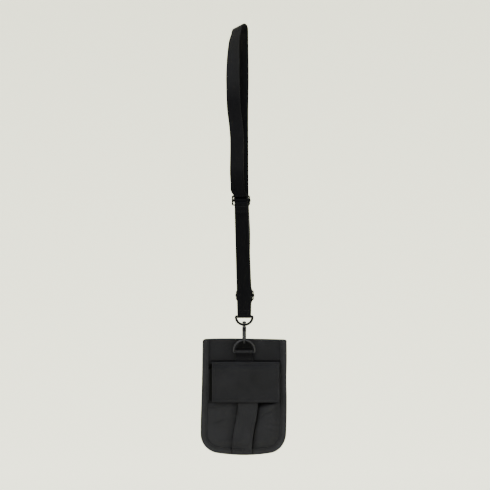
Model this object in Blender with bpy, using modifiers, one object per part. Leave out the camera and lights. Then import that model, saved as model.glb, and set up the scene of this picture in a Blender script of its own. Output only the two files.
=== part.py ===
"""Neck pouch wallet: a flat nylon pouch with a flapped, pleated pocket, hung by a D ring and
a swivel snap hook from an adjustable neck strap.

Metres, +Z up. The pouch's front faces -Y. The origin is under the fold of the strap that
lies on the neck, on the plumb line of the swivel.
"""
import math

import bmesh
import bpy
from mathutils import Matrix, Vector

# Air between pieces that touch, and round a pin in its bore
SEAT_GAP = 0.0003
RUNNING_GAP = 0.00008

# Strap webbing and its route
WEBBING_WIDTH = 0.019
WEBBING_THICKNESS = 0.0014
STRAP_DROP = 0.403
NECK_BEND_RADIUS = 0.0066
NECK_BEND_TURN = -40
NECK_BEND_TILT = math.radians(20)
FRONT_SLIDER_RISE = 0.1594
FRONT_SLIDER_X = -0.0042
REAR_SLIDER_RISE = 0.0285
REAR_SLIDER_X = 0.0009
HEM_LENGTH = 0.018
FRONT_SLIDER_UP = 0.010
REAR_SLIDER_UP = 0.045
# How the two neck strands sway: share of the way down, sideways place, turn about the plumb line.
# The tilt of the fold fades out over the first share, and the depth settles from the second.
NECK_FOLD_X = -0.0062
NECK_FOLD_Z = -0.0105
FRONT_SPLIT_X = -0.0095
TILT_FADES = 0.20
DEPTH_SETTLES = 0.45
FRONT_SWAY = ((0.06, -0.0140, -38), (0.23, -0.0156, -20), (0.32, -0.0157, -12), (0.50, -0.0144, -6),
              (0.62, -0.0114, -4), (0.71, -0.0100, -3), (0.84, -0.0101, -2), (0.93, -0.0103, 0))
BACK_SWAY = ((0.08, -0.0023, -30), (0.22, -0.0029, -15), (0.35, -0.0038, -5), (0.49, -0.0038, 0),
             (0.71, -0.0034, 0), (0.80, -0.0027, 0), (0.90, -0.0012, 0))

# Wire sliders
SLIDER_WIRE = 0.0018
SLIDER_CORNER = 0.0017
SLIDER_BAR_HEIGHT = 0.0036
SLIDER_BAR_THICKNESS = 0.0016
SLIDER_BAR_EDGE = 0.00075
SLEEVE_WALL = 0.0005

# Swivel bail and rivet
BAIL_WIRE = 0.0022
BAIL_DROP = 0.0120
BAIL_CORNER = 0.0015
EYE_RADIUS = 0.0030
EYE_HEIGHT = 0.0034
RIVET_RADIUS = 0.0013
RIVET_HEAD_RADIUS = 0.0024
RIVET_HEAD_HEIGHT = 0.0031
RIVET_CROWN = 0.0019
RIVET_DEPTH = 0.0028

# Snap hook
HOOK_HEAD_WIDTH = 0.0050
HOOK_HEAD_LENGTH = 0.0066
HOOK_HEAD_BACK = 0.0045
HOOK_HEAD_EDGE = 0.0010
HOOK_ROD = 0.0034
HOOK_TIP = 0.0028
HOOK_EYE_WIDTH = 0.0086
HOOK_EYE_LENGTH = 0.0141
HOOK_SHOULDER = 0.0040
TIP_RISE = 0.0022
PIVOT_RISE = 0.0024
GATE_WIDTH = 0.0024
GATE_THICKNESS = 0.0018
GATE_EYE_RADIUS = 0.0017
GATE_EYE_WIDTH = 0.0008
GATE_OVERLAP = 0.0020
GATE_OPENS = math.radians(25)
PIN_RADIUS = 0.0006
PIN_PROUD = 0.0002
SPRING_WIRE = 0.0003
SPRING_TURNS = 1.5
SPRING_PITCH = 0.0006
SPRING_LEG = 0.0013
SPRING_STEPS = 10

# D ring and its tab
D_RING_WIRE = 0.0028
D_RING_HEIGHT = 0.0180
D_RING_CORNER = 0.0019
D_RING_LEAN = math.radians(20)
TAB_WIDTH = 0.025
TAB_THICKNESS = 0.0013
TAB_LENGTH = 0.022

# Pouch
POUCH_TOP_WIDTH = 0.1150
POUCH_WIDTH = 0.1168
POUCH_HEIGHT = 0.1576
POUCH_CORNER = 0.026
POUCH_BOW = math.radians(9)
RING_BELOW_MOUTH = 0.0164
PANEL_THICKNESS = 0.0010
BINDING_WIDTH = 0.0085
BINDING_THICKNESS = 0.0008
COMPARTMENT_GAP = 0.0050
PANEL_SLOPE = 0.0070

# Front pocket and pleat
POCKET_BELOW_TAB = 0.0015
POCKET_GAP = 0.0046
POCKET_THICKNESS = 0.0007
PLEAT_WIDTH = 0.0270
PLEAT_TUCK = 0.0075
PLEAT_TOP_X = 0.0052
PLEAT_FOOT_X = -0.0030
PLEAT_ABOVE_BINDING = 0.0012

# Flap
FLAP_INSET = 0.0115
FLAP_LENGTH = 0.0552
FLAP_X = 0.0022
FLAP_BELOW_RING = 0.0136
FLAP_THICKNESS = 0.0008
LINING_THICKNESS = 0.0006
LINING_INSET = 0.0010
TAPE_THICKNESS = 0.0007
TAPE_WIDTH = 0.020
TAPE_HEIGHT = 0.016
TAPE_INSET = 0.0050
TAPE_ABOVE_HEM = 0.0070
TAPE_EDGE = 0.00018

# Steps in a corner, a bend, a full round, a bow, a strand that shifts and a neck strand
CORNER_STEPS = 4
BEND_STEPS = 8
ROUND_STEPS = 14
ROUND_SIDES = 20
BOW_STEPS = 18
RUN_STEPS = 6
STRAND_STEPS = 16

COLOURS = {
    "webbing": ((0.011, 0.011, 0.011, 1), 0.72, 0.0),
    "wire": ((0.020, 0.020, 0.021, 1), 0.38, 0.6),
    "nickel": ((0.060, 0.057, 0.052, 1), 0.30, 1.0),
    "nylon": ((0.021, 0.021, 0.022, 1), 0.80, 0.0),
    "binding": ((0.018, 0.018, 0.019, 1), 0.85, 0.0),
    "tape": ((0.012, 0.012, 0.012, 1), 0.95, 0.0),
}

# Heights and widths that follow from the sizes above
BAR_Z = -STRAP_DROP
FRONT_SLIDER_Z = BAR_Z + FRONT_SLIDER_RISE
REAR_SLIDER_Z = BAR_Z + REAR_SLIDER_RISE
EYE_Z = BAR_Z - BAIL_DROP
HEAD_TOP = EYE_Z - EYE_HEIGHT / 2 - SEAT_GAP
HEAD_FOOT = HEAD_TOP - HOOK_HEAD_LENGTH
BEND_INSIDE = HEAD_FOOT - HOOK_EYE_LENGTH
RING_TOP = BEND_INSIDE + SEAT_GAP + D_RING_WIRE / 2
RING_BAR_Z = RING_TOP - D_RING_HEIGHT * math.cos(D_RING_LEAN)
POUCH_TOP = RING_BAR_Z + RING_BELOW_MOUTH
POUCH_FOOT = POUCH_TOP - POUCH_HEIGHT
FLAP_TOP = RING_BAR_Z - FLAP_BELOW_RING
FLAP_FOOT = FLAP_TOP - FLAP_LENGTH
FLAP_WIDTH = POUCH_TOP_WIDTH - 2 * FLAP_INSET
TAPE_X = FLAP_WIDTH / 2 - TAPE_INSET - TAPE_WIDTH / 2
POCKET_MOUTH = RING_BAR_Z - TAB_LENGTH - POCKET_BELOW_TAB

# Depths of the strap's layers, front to back
LAYER = WEBBING_THICKNESS + SEAT_GAP
OVER_WIRE = SLIDER_WIRE / 2 + SEAT_GAP + WEBBING_THICKNESS / 2
BAR_LOOP = BAIL_WIRE / 2 + SEAT_GAP + WEBBING_THICKNESS / 2
FRONT_LEG_Y = -BAR_LOOP
TAIL_TOP_Y = FRONT_LEG_Y + LAYER
FRONT_SLIDER_Y = TAIL_TOP_Y + OVER_WIRE
TAIL_FOOT_Y = TAIL_TOP_Y + LAYER
BACK_FOOT_Y = TAIL_FOOT_Y + LAYER
REAR_SLIDER_Y = BACK_FOOT_Y + OVER_WIRE
HEM_ROUND_Y = SLIDER_BAR_THICKNESS / 2 + SEAT_GAP + WEBBING_THICKNESS / 2
HEM_ROUND_Z = SLIDER_BAR_HEIGHT / 2 + SEAT_GAP + WEBBING_THICKNESS / 2
WAVE_Y = HEM_ROUND_Y + LAYER
WAVE_Z = HEM_ROUND_Z + LAYER
SLIDER_REACH = WAVE_Z + OVER_WIRE
BACK_STRAND_Y = FRONT_SLIDER_Y + WAVE_Y + LAYER
NECK_BEND = NECK_BEND_RADIUS + WEBBING_THICKNESS / 2
FOLD_Y = BACK_STRAND_Y - NECK_BEND * math.cos(math.radians(NECK_BEND_TURN))
FRONT_SPLIT_Z = FRONT_SLIDER_Z + FRONT_SLIDER_UP + 2 * SLIDER_REACH
BACK_SPLIT_Z = REAR_SLIDER_Z + REAR_SLIDER_UP + 2 * SLIDER_REACH
SLEEVE_RADIUS = SLIDER_WIRE / 2 + SEAT_GAP + SLEEVE_WALL
SLIDER_HALF = WEBBING_WIDTH / 2 + SEAT_GAP + max(SLEEVE_RADIUS, SLIDER_CORNER)

# Depths of the pouch's layers, front to back
RING_BAR_Y = D_RING_HEIGHT * math.sin(D_RING_LEAN)
TAB_LOOP = D_RING_WIRE / 2 + SEAT_GAP + TAB_THICKNESS / 2
PANEL_FACE = RING_BAR_Y + TAB_LOOP + TAB_THICKNESS / 2 + SEAT_GAP
PANEL_Y = PANEL_FACE + PANEL_THICKNESS / 2
BACK_RIM_Y = PANEL_Y + PANEL_THICKNESS + SEAT_GAP
BACK_Y = PANEL_Y + COMPARTMENT_GAP + PANEL_THICKNESS
POCKET_RIM_Y = PANEL_FACE - SEAT_GAP - POCKET_THICKNESS / 2
POCKET_Y = PANEL_FACE - POCKET_GAP - POCKET_THICKNESS / 2
PLEAT_LAYER = POCKET_THICKNESS + SEAT_GAP
BINDING_FRONT_Y = POCKET_RIM_Y - POCKET_THICKNESS / 2 - SEAT_GAP - BINDING_THICKNESS / 2
BINDING_BACK_Y = BACK_RIM_Y + PANEL_THICKNESS / 2 + SEAT_GAP + BINDING_THICKNESS / 2
PANEL_INSET = BINDING_THICKNESS + SEAT_GAP
PANEL_RIM = BINDING_WIDTH - PANEL_INSET + SEAT_GAP
POCKET_FACE = POCKET_Y - POCKET_THICKNESS / 2
PLEAT_FACE = POCKET_FACE - 2 * PLEAT_LAYER
POCKET_TAPE_Y = POCKET_FACE - SEAT_GAP - TAPE_THICKNESS / 2
FLAP_TAPE_Y = POCKET_TAPE_Y - TAPE_THICKNESS - SEAT_GAP
LINING_BACK = min(PLEAT_FACE, FLAP_TAPE_Y - TAPE_THICKNESS / 2) - SEAT_GAP
LINING_Y = LINING_BACK - LINING_THICKNESS / 2
FLAP_STEP = (LINING_THICKNESS + FLAP_THICKNESS) / 2 + 2 * SEAT_GAP
TAB_FACE = PANEL_FACE - 2 * (TAB_THICKNESS + SEAT_GAP)
LINING_TOP_Y = TAB_FACE - SEAT_GAP - LINING_THICKNESS / 2

# Joint axes
ROD_Y = HOOK_EYE_WIDTH / 2 + HOOK_ROD / 2
BEND_Z = BEND_INSIDE + HOOK_EYE_WIDTH / 2
SLOT_BACK = -RIVET_RADIUS - 2 * SEAT_GAP
PIVOT_Y = SLOT_BACK - SEAT_GAP - GATE_EYE_RADIUS
PIVOT_Z = HEAD_FOOT + PIVOT_RISE
PIVOTS = {
    "front_slider": Vector((FRONT_SLIDER_X, FRONT_SLIDER_Y, FRONT_SLIDER_Z)),
    "rear_slider": Vector((REAR_SLIDER_X, REAR_SLIDER_Y, REAR_SLIDER_Z)),
    "bail": Vector((0, 0, BAR_Z)),
    "hook": Vector((0, 0, EYE_Z)),
    "gate": Vector((0, PIVOT_Y, PIVOT_Z)),
    "ring": Vector((0, 0, BEND_INSIDE)),
    "pouch": Vector((0, RING_BAR_Y, RING_BAR_Z)),
    "flap": Vector((FLAP_X, LINING_TOP_Y - FLAP_STEP, FLAP_TOP)),
}
PARENTS = {"hook": "bail", "gate": "hook", "ring": "hook", "pouch": "ring", "flap": "pouch"}


def clear_scene():
    for old in list(bpy.data.objects):
        bpy.data.objects.remove(old, do_unlink=True)


def new_collection(name):
    group = bpy.data.collections.new(name)
    bpy.context.scene.collection.children.link(group)
    return group


def make_material(name):
    colour, roughness, metallic = COLOURS[name]
    material = bpy.data.materials.new(name)
    material.use_nodes = True
    shader = material.node_tree.nodes["Principled BSDF"]
    shader.inputs["Base Color"].default_value = colour
    shader.inputs["Roughness"].default_value = roughness
    shader.inputs["Metallic"].default_value = metallic
    return material


def joint_empties():
    """One empty on each joint's axis, each under the empty of the body that carries it."""
    empties = {}
    for body, point in PIVOTS.items():
        empty = bpy.data.objects.new(body + "_joint", None)
        empty.empty_display_size = 0.01
        carrier = PARENTS.get(body)
        start = Vector((0, 0, 0))
        if carrier:
            empty.parent = empties[carrier]
            start = PIVOTS[carrier]
        empty.location = point - start
        PARTS.objects.link(empty)
        empties[body] = empty
    return empties


def place(piece, body, material):
    """Give a piece made in world coordinates its material and its joint's empty."""
    piece.data.materials.clear()
    piece.data.materials.append(MATERIALS[material])
    if body:
        piece.data.transform(Matrix.Translation(-PIVOTS[body]))
        piece.parent = EMPTIES[body]
    return piece


def mesh_object(name, bm, group=None):
    mesh = bpy.data.meshes.new(name)
    bmesh.ops.recalc_face_normals(bm, faces=bm.faces)
    bm.to_mesh(mesh)
    bm.free()
    piece = bpy.data.objects.new(name, mesh)
    (group or PARTS).objects.link(piece)
    return piece


def solidify(piece, thickness):
    wall = piece.modifiers.new("thickness", "SOLIDIFY")
    wall.thickness = thickness
    wall.offset = 0
    wall.use_even_offset = True
    return piece


def boolean(piece, other, operation):
    """Cut or join with a helper object, which is kept out of the model."""
    other.hide_render = True
    other.display_type = "WIRE"
    step = piece.modifiers.new(operation.lower(), "BOOLEAN")
    step.operation = operation
    step.solver = "EXACT"
    step.object = other
    return piece


def swept_sheet(name, sections):
    """A loft through sections that each have the same number of points."""
    bm = bmesh.new()
    rows = [[bm.verts.new(point) for point in section] for section in sections]
    for low, high in zip(rows, rows[1:]):
        for n in range(len(low) - 1):
            bm.faces.new((low[n], low[n + 1], high[n + 1], high[n]))
    return mesh_object(name, bm)


def arc(centre, radii, start, end, steps=BEND_STEPS):
    """Points on an arc in a plane: centre and radii as pairs, angles in degrees."""
    points = []
    for n in range(steps + 1):
        turn = math.radians(start + (end - start) * n / steps)
        points.append((centre[0] + radii[0] * math.cos(turn), centre[1] + radii[1] * math.sin(turn)))
    return points


def curve_value(knots, at):
    """A smooth curve through (place, value) knots, read at one place."""
    slopes = []
    for n in range(len(knots)):
        before = knots[max(n - 1, 0)]
        after = knots[min(n + 1, len(knots) - 1)]
        slopes.append((after[1] - before[1]) / (after[0] - before[0]))
    for n in range(len(knots) - 1):
        (a, low), (b, high) = knots[n], knots[n + 1]
        if at <= b or n == len(knots) - 2:
            span = b - a
            t = (at - a) / span
            return ((1 + 2 * t) * (1 - t) ** 2 * low + t * (1 - t) ** 2 * span * slopes[n]
                    + t * t * (3 - 2 * t) * high + t * t * (t - 1) * span * slopes[n + 1])


def ease(low, high, share):
    share = min(max(share, 0), 1)
    return low + (high - low) * share * share * (3 - 2 * share)


def eased_run(start, end):
    """Points of a strand that shifts gently in depth from one (y, z) to another."""
    points = []
    for n in range(RUN_STEPS + 1):
        share = n / RUN_STEPS
        points.append((ease(start[0], end[0], share), start[1] + (end[1] - start[1]) * share))
    return points


def curve_object(name, points, radius, cyclic, sides=2, radii=None):
    """A wire: a bevelled poly curve, with filled caps where it is open."""
    data = bpy.data.curves.new(name, "CURVE")
    data.dimensions = "3D"
    data.bevel_depth = radius
    data.bevel_resolution = sides
    data.use_fill_caps = True
    line = data.splines.new("POLY")
    line.points.add(len(points) - 1)
    for n, point in enumerate(points):
        line.points[n].co = (*point, 1)
        line.points[n].radius = radii[n] if radii else 1
    line.use_cyclic_u = cyclic
    piece = bpy.data.objects.new(name, data)
    PARTS.objects.link(piece)
    return piece


def curve_to_mesh(piece):
    """The evaluated curve as a welded mesh object of the same name."""
    name = piece.name
    bpy.context.view_layer.update()
    graph = bpy.context.evaluated_depsgraph_get()
    mesh = bpy.data.meshes.new_from_object(piece.evaluated_get(graph))
    bpy.data.objects.remove(piece, do_unlink=True)
    bm = bmesh.new()
    bm.from_mesh(mesh)
    bpy.data.meshes.remove(mesh)
    bmesh.ops.remove_doubles(bm, verts=bm.verts, dist=1e-6)
    return mesh_object(name, bm)


def flat_outline(name, points, thickness):
    """A (y, z) outline as a plate of some thickness, centred on X."""
    data = bpy.data.curves.new(name, "CURVE")
    data.dimensions = "2D"
    data.fill_mode = "BOTH"
    data.extrude = thickness / 2
    line = data.splines.new("POLY")
    line.points.add(len(points) - 1)
    for n, point in enumerate(points):
        line.points[n].co = (*point, 0, 1)
    line.use_cyclic_u = True
    piece = bpy.data.objects.new(name, data)
    PARTS.objects.link(piece)
    piece = curve_to_mesh(piece)
    piece.data.transform(Matrix(((0, 0, 1, 0), (1, 0, 0, 0), (0, 1, 0, 0), (0, 0, 0, 1))))
    return piece


def box(name, low, high, group=None):
    bm = bmesh.new()
    bmesh.ops.create_cube(bm, size=1)
    low, high = Vector(low), Vector(high)
    size = high - low
    bmesh.ops.scale(bm, vec=size, verts=bm.verts)
    bmesh.ops.translate(bm, vec=(low + high) / 2, verts=bm.verts)
    return mesh_object(name, bm, group)


def rod(name, centre, radius, length, axis="Z", group=None):
    bm = bmesh.new()
    bmesh.ops.create_cone(bm, cap_ends=True, segments=ROUND_SIDES, radius1=radius, radius2=radius,
                          depth=length)
    if axis == "X":
        bmesh.ops.rotate(bm, matrix=Matrix.Rotation(math.pi / 2, 3, "Y"), verts=bm.verts)
    bmesh.ops.translate(bm, vec=centre, verts=bm.verts)
    return mesh_object(name, bm, group)


def turned(name, profile, centre):
    """A profile of (radius, height) pairs, listed top to bottom, turned about Z."""
    bm = bmesh.new()
    row = [bm.verts.new((centre[0] + radius, centre[1], centre[2] + height)) for radius, height in profile]
    for pair in zip(row, row[1:]):
        bm.edges.new(pair)
    mesh = bpy.data.meshes.new(name)
    bm.to_mesh(mesh)
    bm.free()
    piece = bpy.data.objects.new(name, mesh)
    PARTS.objects.link(piece)
    lathe = piece.modifiers.new("lathe", "SCREW")
    lathe.steps = ROUND_SIDES
    lathe.render_steps = ROUND_SIDES
    lathe.use_merge_vertices = True
    lathe.merge_threshold = 1e-6
    return piece


def d_loop(half, height, corner):
    """Centre line of a D: its bar along height 0 with round corners, and its bow."""
    line = arc((half - corner, corner), (corner, corner), -90, 0, CORNER_STEPS)
    line += arc((0, corner), (half, height - corner), 0, 180, BOW_STEPS)[1:-1]
    line += arc((corner - half, corner), (corner, corner), 180, 270, CORNER_STEPS)
    return line


def webbing(name, stations):
    """A band of webbing through stations of centre, turn about Z and tilt in its own face."""
    sections = []
    for centre, turn, tilt in stations:
        level = math.cos(tilt)
        across = Vector((math.cos(turn) * level, math.sin(turn) * level, math.sin(tilt)))
        half = across * WEBBING_WIDTH / 2
        sections.append((centre - half, centre + half))
    return place(solidify(swept_sheet(name, sections), WEBBING_THICKNESS), None, "webbing")


def strap_x(z):
    """Sideways place of the lower strap, which leans a little on its way up."""
    places = ((BAR_Z, 0), (REAR_SLIDER_Z, REAR_SLIDER_X), (FRONT_SLIDER_Z, FRONT_SLIDER_X))
    for (low, x_low), (high, x_high) in zip(places, places[1:]):
        if z <= high or high == FRONT_SLIDER_Z:
            return x_low + (x_high - x_low) * min(max((z - low) / (high - low), 0), 1)


def through_slider(y, z):
    """The strand that runs through a slider: before its outer wires, behind its bar."""
    line = arc((y, z + SLIDER_REACH), (OVER_WIRE, OVER_WIRE), 180, 270, CORNER_STEPS)
    line += arc((y, z), (WAVE_Y, WAVE_Z), 90, -90)[1:-1]
    line += arc((y, z - SLIDER_REACH), (OVER_WIRE, OVER_WIRE), 90, 180, CORNER_STEPS)
    return line


def hem_round_bar(y, z, side):
    """The sewn end: up before the outer wire, round the bar and back. side is 1 from below."""
    radius = OVER_WIRE + LAYER
    outer = radius + LAYER
    turn = 180 - math.degrees(math.acos(HEM_ROUND_Y / outer))
    line = arc((0, -SLIDER_REACH), (radius, radius), 180, 90, CORNER_STEPS)
    line += arc((0, 0), (HEM_ROUND_Y, HEM_ROUND_Z), -90, 180, ROUND_STEPS)[1:]
    line += arc((0, -SLIDER_REACH), (outer, outer), turn, 180, CORNER_STEPS)
    line.append((-outer, -HEM_LENGTH))
    return [(y + depth, z + side * height) for depth, height in line]


def upright(line):
    """Stations of a strand that stays square to the front, from its (y, z) line."""
    return [(Vector((strap_x(z), y, z)), 0, 0) for y, z in line]


def neck_strand(sway, top, foot):
    """Stations of one neck strand, from the fold's end down to its foot."""
    knots = [(0, top.x, NECK_BEND_TURN), *sway, (1, foot.x, 0)]
    places = [(share, x) for share, x, turn in knots]
    turns = [(share, math.radians(turn)) for share, x, turn in knots]
    stations = []
    for n in range(1, STRAND_STEPS + 1):
        share = n / STRAND_STEPS
        y = ease(top.y, foot.y, (share - DEPTH_SETTLES) / (1 - DEPTH_SETTLES))
        z = top.z + share * (foot.z - top.z)
        tilt = NECK_BEND_TILT * max(0, 1 - share / TILT_FADES)
        stations.append((Vector((curve_value(places, share), y, z)), curve_value(turns, share), tilt))
    return stations


def make_neck_webbing():
    turn = math.radians(NECK_BEND_TURN)
    fold = []
    for off, rise in arc((0, NECK_FOLD_Z), (NECK_BEND, NECK_BEND), 180, 0, ROUND_STEPS):
        centre = Vector((NECK_FOLD_X - off * math.sin(turn), FOLD_Y + off * math.cos(turn), rise))
        fold.append((centre, turn, NECK_BEND_TILT))
    front_foot = Vector((FRONT_SPLIT_X, TAIL_TOP_Y, FRONT_SPLIT_Z + SEAT_GAP / 2))
    back_foot = Vector((strap_x(BACK_SPLIT_Z), BACK_STRAND_Y, BACK_SPLIT_Z + SEAT_GAP / 2))
    front = neck_strand(FRONT_SWAY, fold[0][0], front_foot)
    back = neck_strand(BACK_SWAY, fold[-1][0], back_foot)
    webbing("neck_webbing", front[::-1] + fold + back)


def make_tail_webbing():
    start = FRONT_SPLIT_Z - SEAT_GAP / 2
    entry = FRONT_SLIDER_Z + SLIDER_REACH
    stations = []
    for n in range(RUN_STEPS):
        share = n / RUN_STEPS
        x = ease(FRONT_SPLIT_X, FRONT_SLIDER_X, share)
        stations.append((Vector((x, TAIL_TOP_Y, start + share * (entry - start))), 0, 0))
    line = through_slider(FRONT_SLIDER_Y, FRONT_SLIDER_Z)
    exit_point = (TAIL_FOOT_Y, REAR_SLIDER_Z + SLIDER_REACH)
    line += eased_run(line[-1], exit_point)[1:-1]
    line += hem_round_bar(REAR_SLIDER_Y, REAR_SLIDER_Z, -1)
    webbing("tail_webbing", stations + upright(line))


def make_lower_webbing():
    line = eased_run((BACK_STRAND_Y, BACK_SPLIT_Z - SEAT_GAP / 2),
                     (BACK_FOOT_Y, REAR_SLIDER_Z + SLIDER_REACH))[:-1]
    line += through_slider(REAR_SLIDER_Y, REAR_SLIDER_Z)
    line += eased_run(line[-1], (BAR_LOOP, BAR_Z))[1:-1]
    line += arc((0, BAR_Z), (BAR_LOOP, BAR_LOOP), 0, -180, ROUND_STEPS)
    line += hem_round_bar(FRONT_SLIDER_Y, FRONT_SLIDER_Z, 1)
    webbing("lower_webbing", upright(line))


def make_slider(body):
    centre = PIVOTS[body]
    line = []
    for x_side, z_side, start in ((1, -1, -90), (1, 1, 0), (-1, 1, 90), (-1, -1, 180)):
        middle = (x_side * (SLIDER_HALF - SLIDER_CORNER), z_side * (SLIDER_REACH - SLIDER_CORNER))
        line += arc(middle, (SLIDER_CORNER, SLIDER_CORNER), start, start + 90, CORNER_STEPS)
    points = [centre + Vector((x, 0, z)) for x, z in line]
    frame = curve_object(body + "_frame", points, SLIDER_WIRE / 2, True)
    place(frame, body, "wire")

    half = Vector((SLIDER_HALF, SLIDER_BAR_THICKNESS / 2, SLIDER_BAR_HEIGHT / 2))
    bar = box(body + "_bar", centre - half, centre + half)
    edge = bar.modifiers.new("rounded", "BEVEL")
    edge.width = SLIDER_BAR_EDGE
    edge.segments = 2
    for side, word in ((-1, "left"), (1, "right")):
        at = centre + Vector((side * SLIDER_HALF, 0, 0))
        sleeve = rod(body + "_sleeve_" + word, at, SLEEVE_RADIUS, SLIDER_BAR_HEIGHT, "Z", CUTTERS)
        boolean(bar, sleeve, "UNION")
    for side, word in ((-1, "left"), (1, "right")):
        at = centre + Vector((side * SLIDER_HALF, 0, 0))
        bore_radius = SLIDER_WIRE / 2 + SEAT_GAP
        bore = rod(body + "_bore_" + word, at, bore_radius, 2 * SLIDER_BAR_HEIGHT, "Z", CUTTERS)
        boolean(bar, bore, "DIFFERENCE")
    place(bar, body, "wire")


def make_bail():
    half = WEBBING_WIDTH / 2 + SEAT_GAP + BAIL_CORNER
    points = [Vector((x, 0, BAR_Z - drop)) for x, drop in d_loop(half, BAIL_DROP, BAIL_CORNER)]
    bail = curve_to_mesh(curve_object("swivel_bail", points, BAIL_WIRE / 2, True))
    boolean(bail, rod("swivel_eye", (0, 0, EYE_Z), EYE_RADIUS, EYE_HEIGHT, "Z", CUTTERS), "UNION")
    bore = rod("swivel_bore", (0, 0, EYE_Z), RIVET_RADIUS + RUNNING_GAP, 2 * EYE_HEIGHT, "Z", CUTTERS)
    boolean(bail, bore, "DIFFERENCE")
    place(bail, "bail", "nickel")


def make_rivet():
    seat = EYE_HEIGHT / 2 + SEAT_GAP
    foot = HEAD_TOP - RIVET_DEPTH - EYE_Z
    rim = seat + RIVET_HEAD_HEIGHT - RIVET_CROWN
    profile = arc((0, rim), (RIVET_HEAD_RADIUS, RIVET_CROWN), 90, 0, CORNER_STEPS)
    profile[0] = (0, profile[0][1])
    profile += [(RIVET_HEAD_RADIUS, seat), (RIVET_RADIUS, seat), (RIVET_RADIUS, foot), (0, foot)]
    place(turned("swivel_rivet", profile, (0, 0, EYE_Z)), "hook", "nickel")


def make_hook():
    head_front = PIVOT_Y - GATE_EYE_RADIUS - SEAT_GAP
    half = HOOK_HEAD_WIDTH / 2
    hook = box("hook_body", (-half, head_front, HEAD_FOOT), (half, HOOK_HEAD_BACK, HEAD_TOP))
    edge = hook.modifiers.new("rounded", "BEVEL")
    edge.width = HOOK_HEAD_EDGE
    edge.segments = 3
    line = [(0, PIVOT_Z)]
    bend = (HOOK_SHOULDER, HOOK_SHOULDER)
    line += arc((ROD_Y - HOOK_SHOULDER, PIVOT_Z - HOOK_SHOULDER), bend, 90, 0, CORNER_STEPS)
    line += arc((0, BEND_Z), (ROD_Y, ROD_Y), 0, -180, ROUND_STEPS)
    line.append((-ROD_Y, BEND_Z + TIP_RISE))
    taper = [1 - (1 - HOOK_TIP / HOOK_ROD) * n / (len(line) - 1) for n in range(len(line))]
    points = [Vector((0, y, z)) for y, z in line]
    rod_part = curve_to_mesh(curve_object("hook_rod", points, HOOK_ROD / 2, False, 4, taper))
    PARTS.objects.unlink(rod_part)
    CUTTERS.objects.link(rod_part)
    boolean(hook, rod_part, "UNION")
    slot_half = GATE_WIDTH / 2 + SEAT_GAP
    slot_top = PIVOT_Z + GATE_EYE_RADIUS + SEAT_GAP
    slot = box("gate_slot", (-slot_half, head_front - HOOK_ROD, HEAD_FOOT - HOOK_TIP),
               (slot_half, SLOT_BACK, slot_top), CUTTERS)
    boolean(hook, slot, "DIFFERENCE")
    reach = GATE_EYE_RADIUS / math.cos(GATE_OPENS) + PIVOT_RISE * math.tan(GATE_OPENS) + SEAT_GAP
    relief = box("gate_relief", (-slot_half, head_front, HEAD_FOOT - HOOK_TIP),
                 (slot_half, PIVOT_Y + reach, PIVOT_Z), CUTTERS)
    boolean(hook, relief, "DIFFERENCE")
    bore = rod("rivet_bore", (0, 0, HEAD_TOP), RIVET_RADIUS + RUNNING_GAP, 2 * (RIVET_DEPTH + SEAT_GAP),
               "Z", CUTTERS)
    boolean(hook, bore, "DIFFERENCE")
    pin_bore = rod("pin_bore", PIVOTS["gate"], PIN_RADIUS + RUNNING_GAP, 2 * HOOK_HEAD_WIDTH, "X", CUTTERS)
    boolean(hook, pin_bore, "DIFFERENCE")
    place(hook, "hook", "nickel")


def make_gate():
    outer = -HOOK_EYE_WIDTH / 2 + SEAT_GAP
    inner = outer + GATE_THICKNESS
    foot = BEND_Z + TIP_RISE - GATE_OVERLAP
    round_end = GATE_THICKNESS / 2
    meet = math.degrees(math.acos((outer - PIVOT_Y) / GATE_EYE_RADIUS))
    line = arc((PIVOT_Y, PIVOT_Z), (GATE_EYE_RADIUS, GATE_EYE_RADIUS), 0, 360 - meet, ROUND_STEPS)
    line += arc((outer + round_end, foot + round_end), (round_end, round_end), 180, 360)
    gate = flat_outline("hook_gate", line, GATE_WIDTH)
    step = -GATE_WIDTH / 2 + GATE_EYE_WIDTH
    relief = rod("spring_relief", (step + GATE_WIDTH, PIVOT_Y, PIVOT_Z), GATE_EYE_RADIUS + SEAT_GAP,
                 2 * GATE_WIDTH, "X", CUTTERS)
    boolean(gate, relief, "DIFFERENCE")
    bore = rod("gate_bore", PIVOTS["gate"], PIN_RADIUS + RUNNING_GAP, 2 * HOOK_HEAD_WIDTH, "X", CUTTERS)
    boolean(gate, bore, "DIFFERENCE")
    place(gate, "gate", "nickel")

    pin_length = HOOK_HEAD_WIDTH + 2 * PIN_PROUD
    place(rod("gate_pin", PIVOTS["gate"], PIN_RADIUS, pin_length, "X"), "hook", "nickel")

    radius = PIN_RADIUS + SEAT_GAP + SPRING_WIRE / 2
    start = step + SEAT_GAP + SPRING_WIRE / 2
    points = [Vector((start, PIVOT_Y + SPRING_LEG, PIVOT_Z + radius))]
    for n in range(int(SPRING_TURNS * SPRING_STEPS) + 1):
        turn = n / SPRING_STEPS
        y = -radius * math.sin(math.tau * turn)
        z = radius * math.cos(math.tau * turn)
        points.append(Vector((start + SPRING_PITCH * turn, PIVOT_Y + y, PIVOT_Z + z)))
    points.append(points[-1] + Vector((0, SPRING_LEG, 0)))
    place(curve_object("gate_spring", points, SPRING_WIRE / 2, False, 1), "hook", "nickel")


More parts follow.
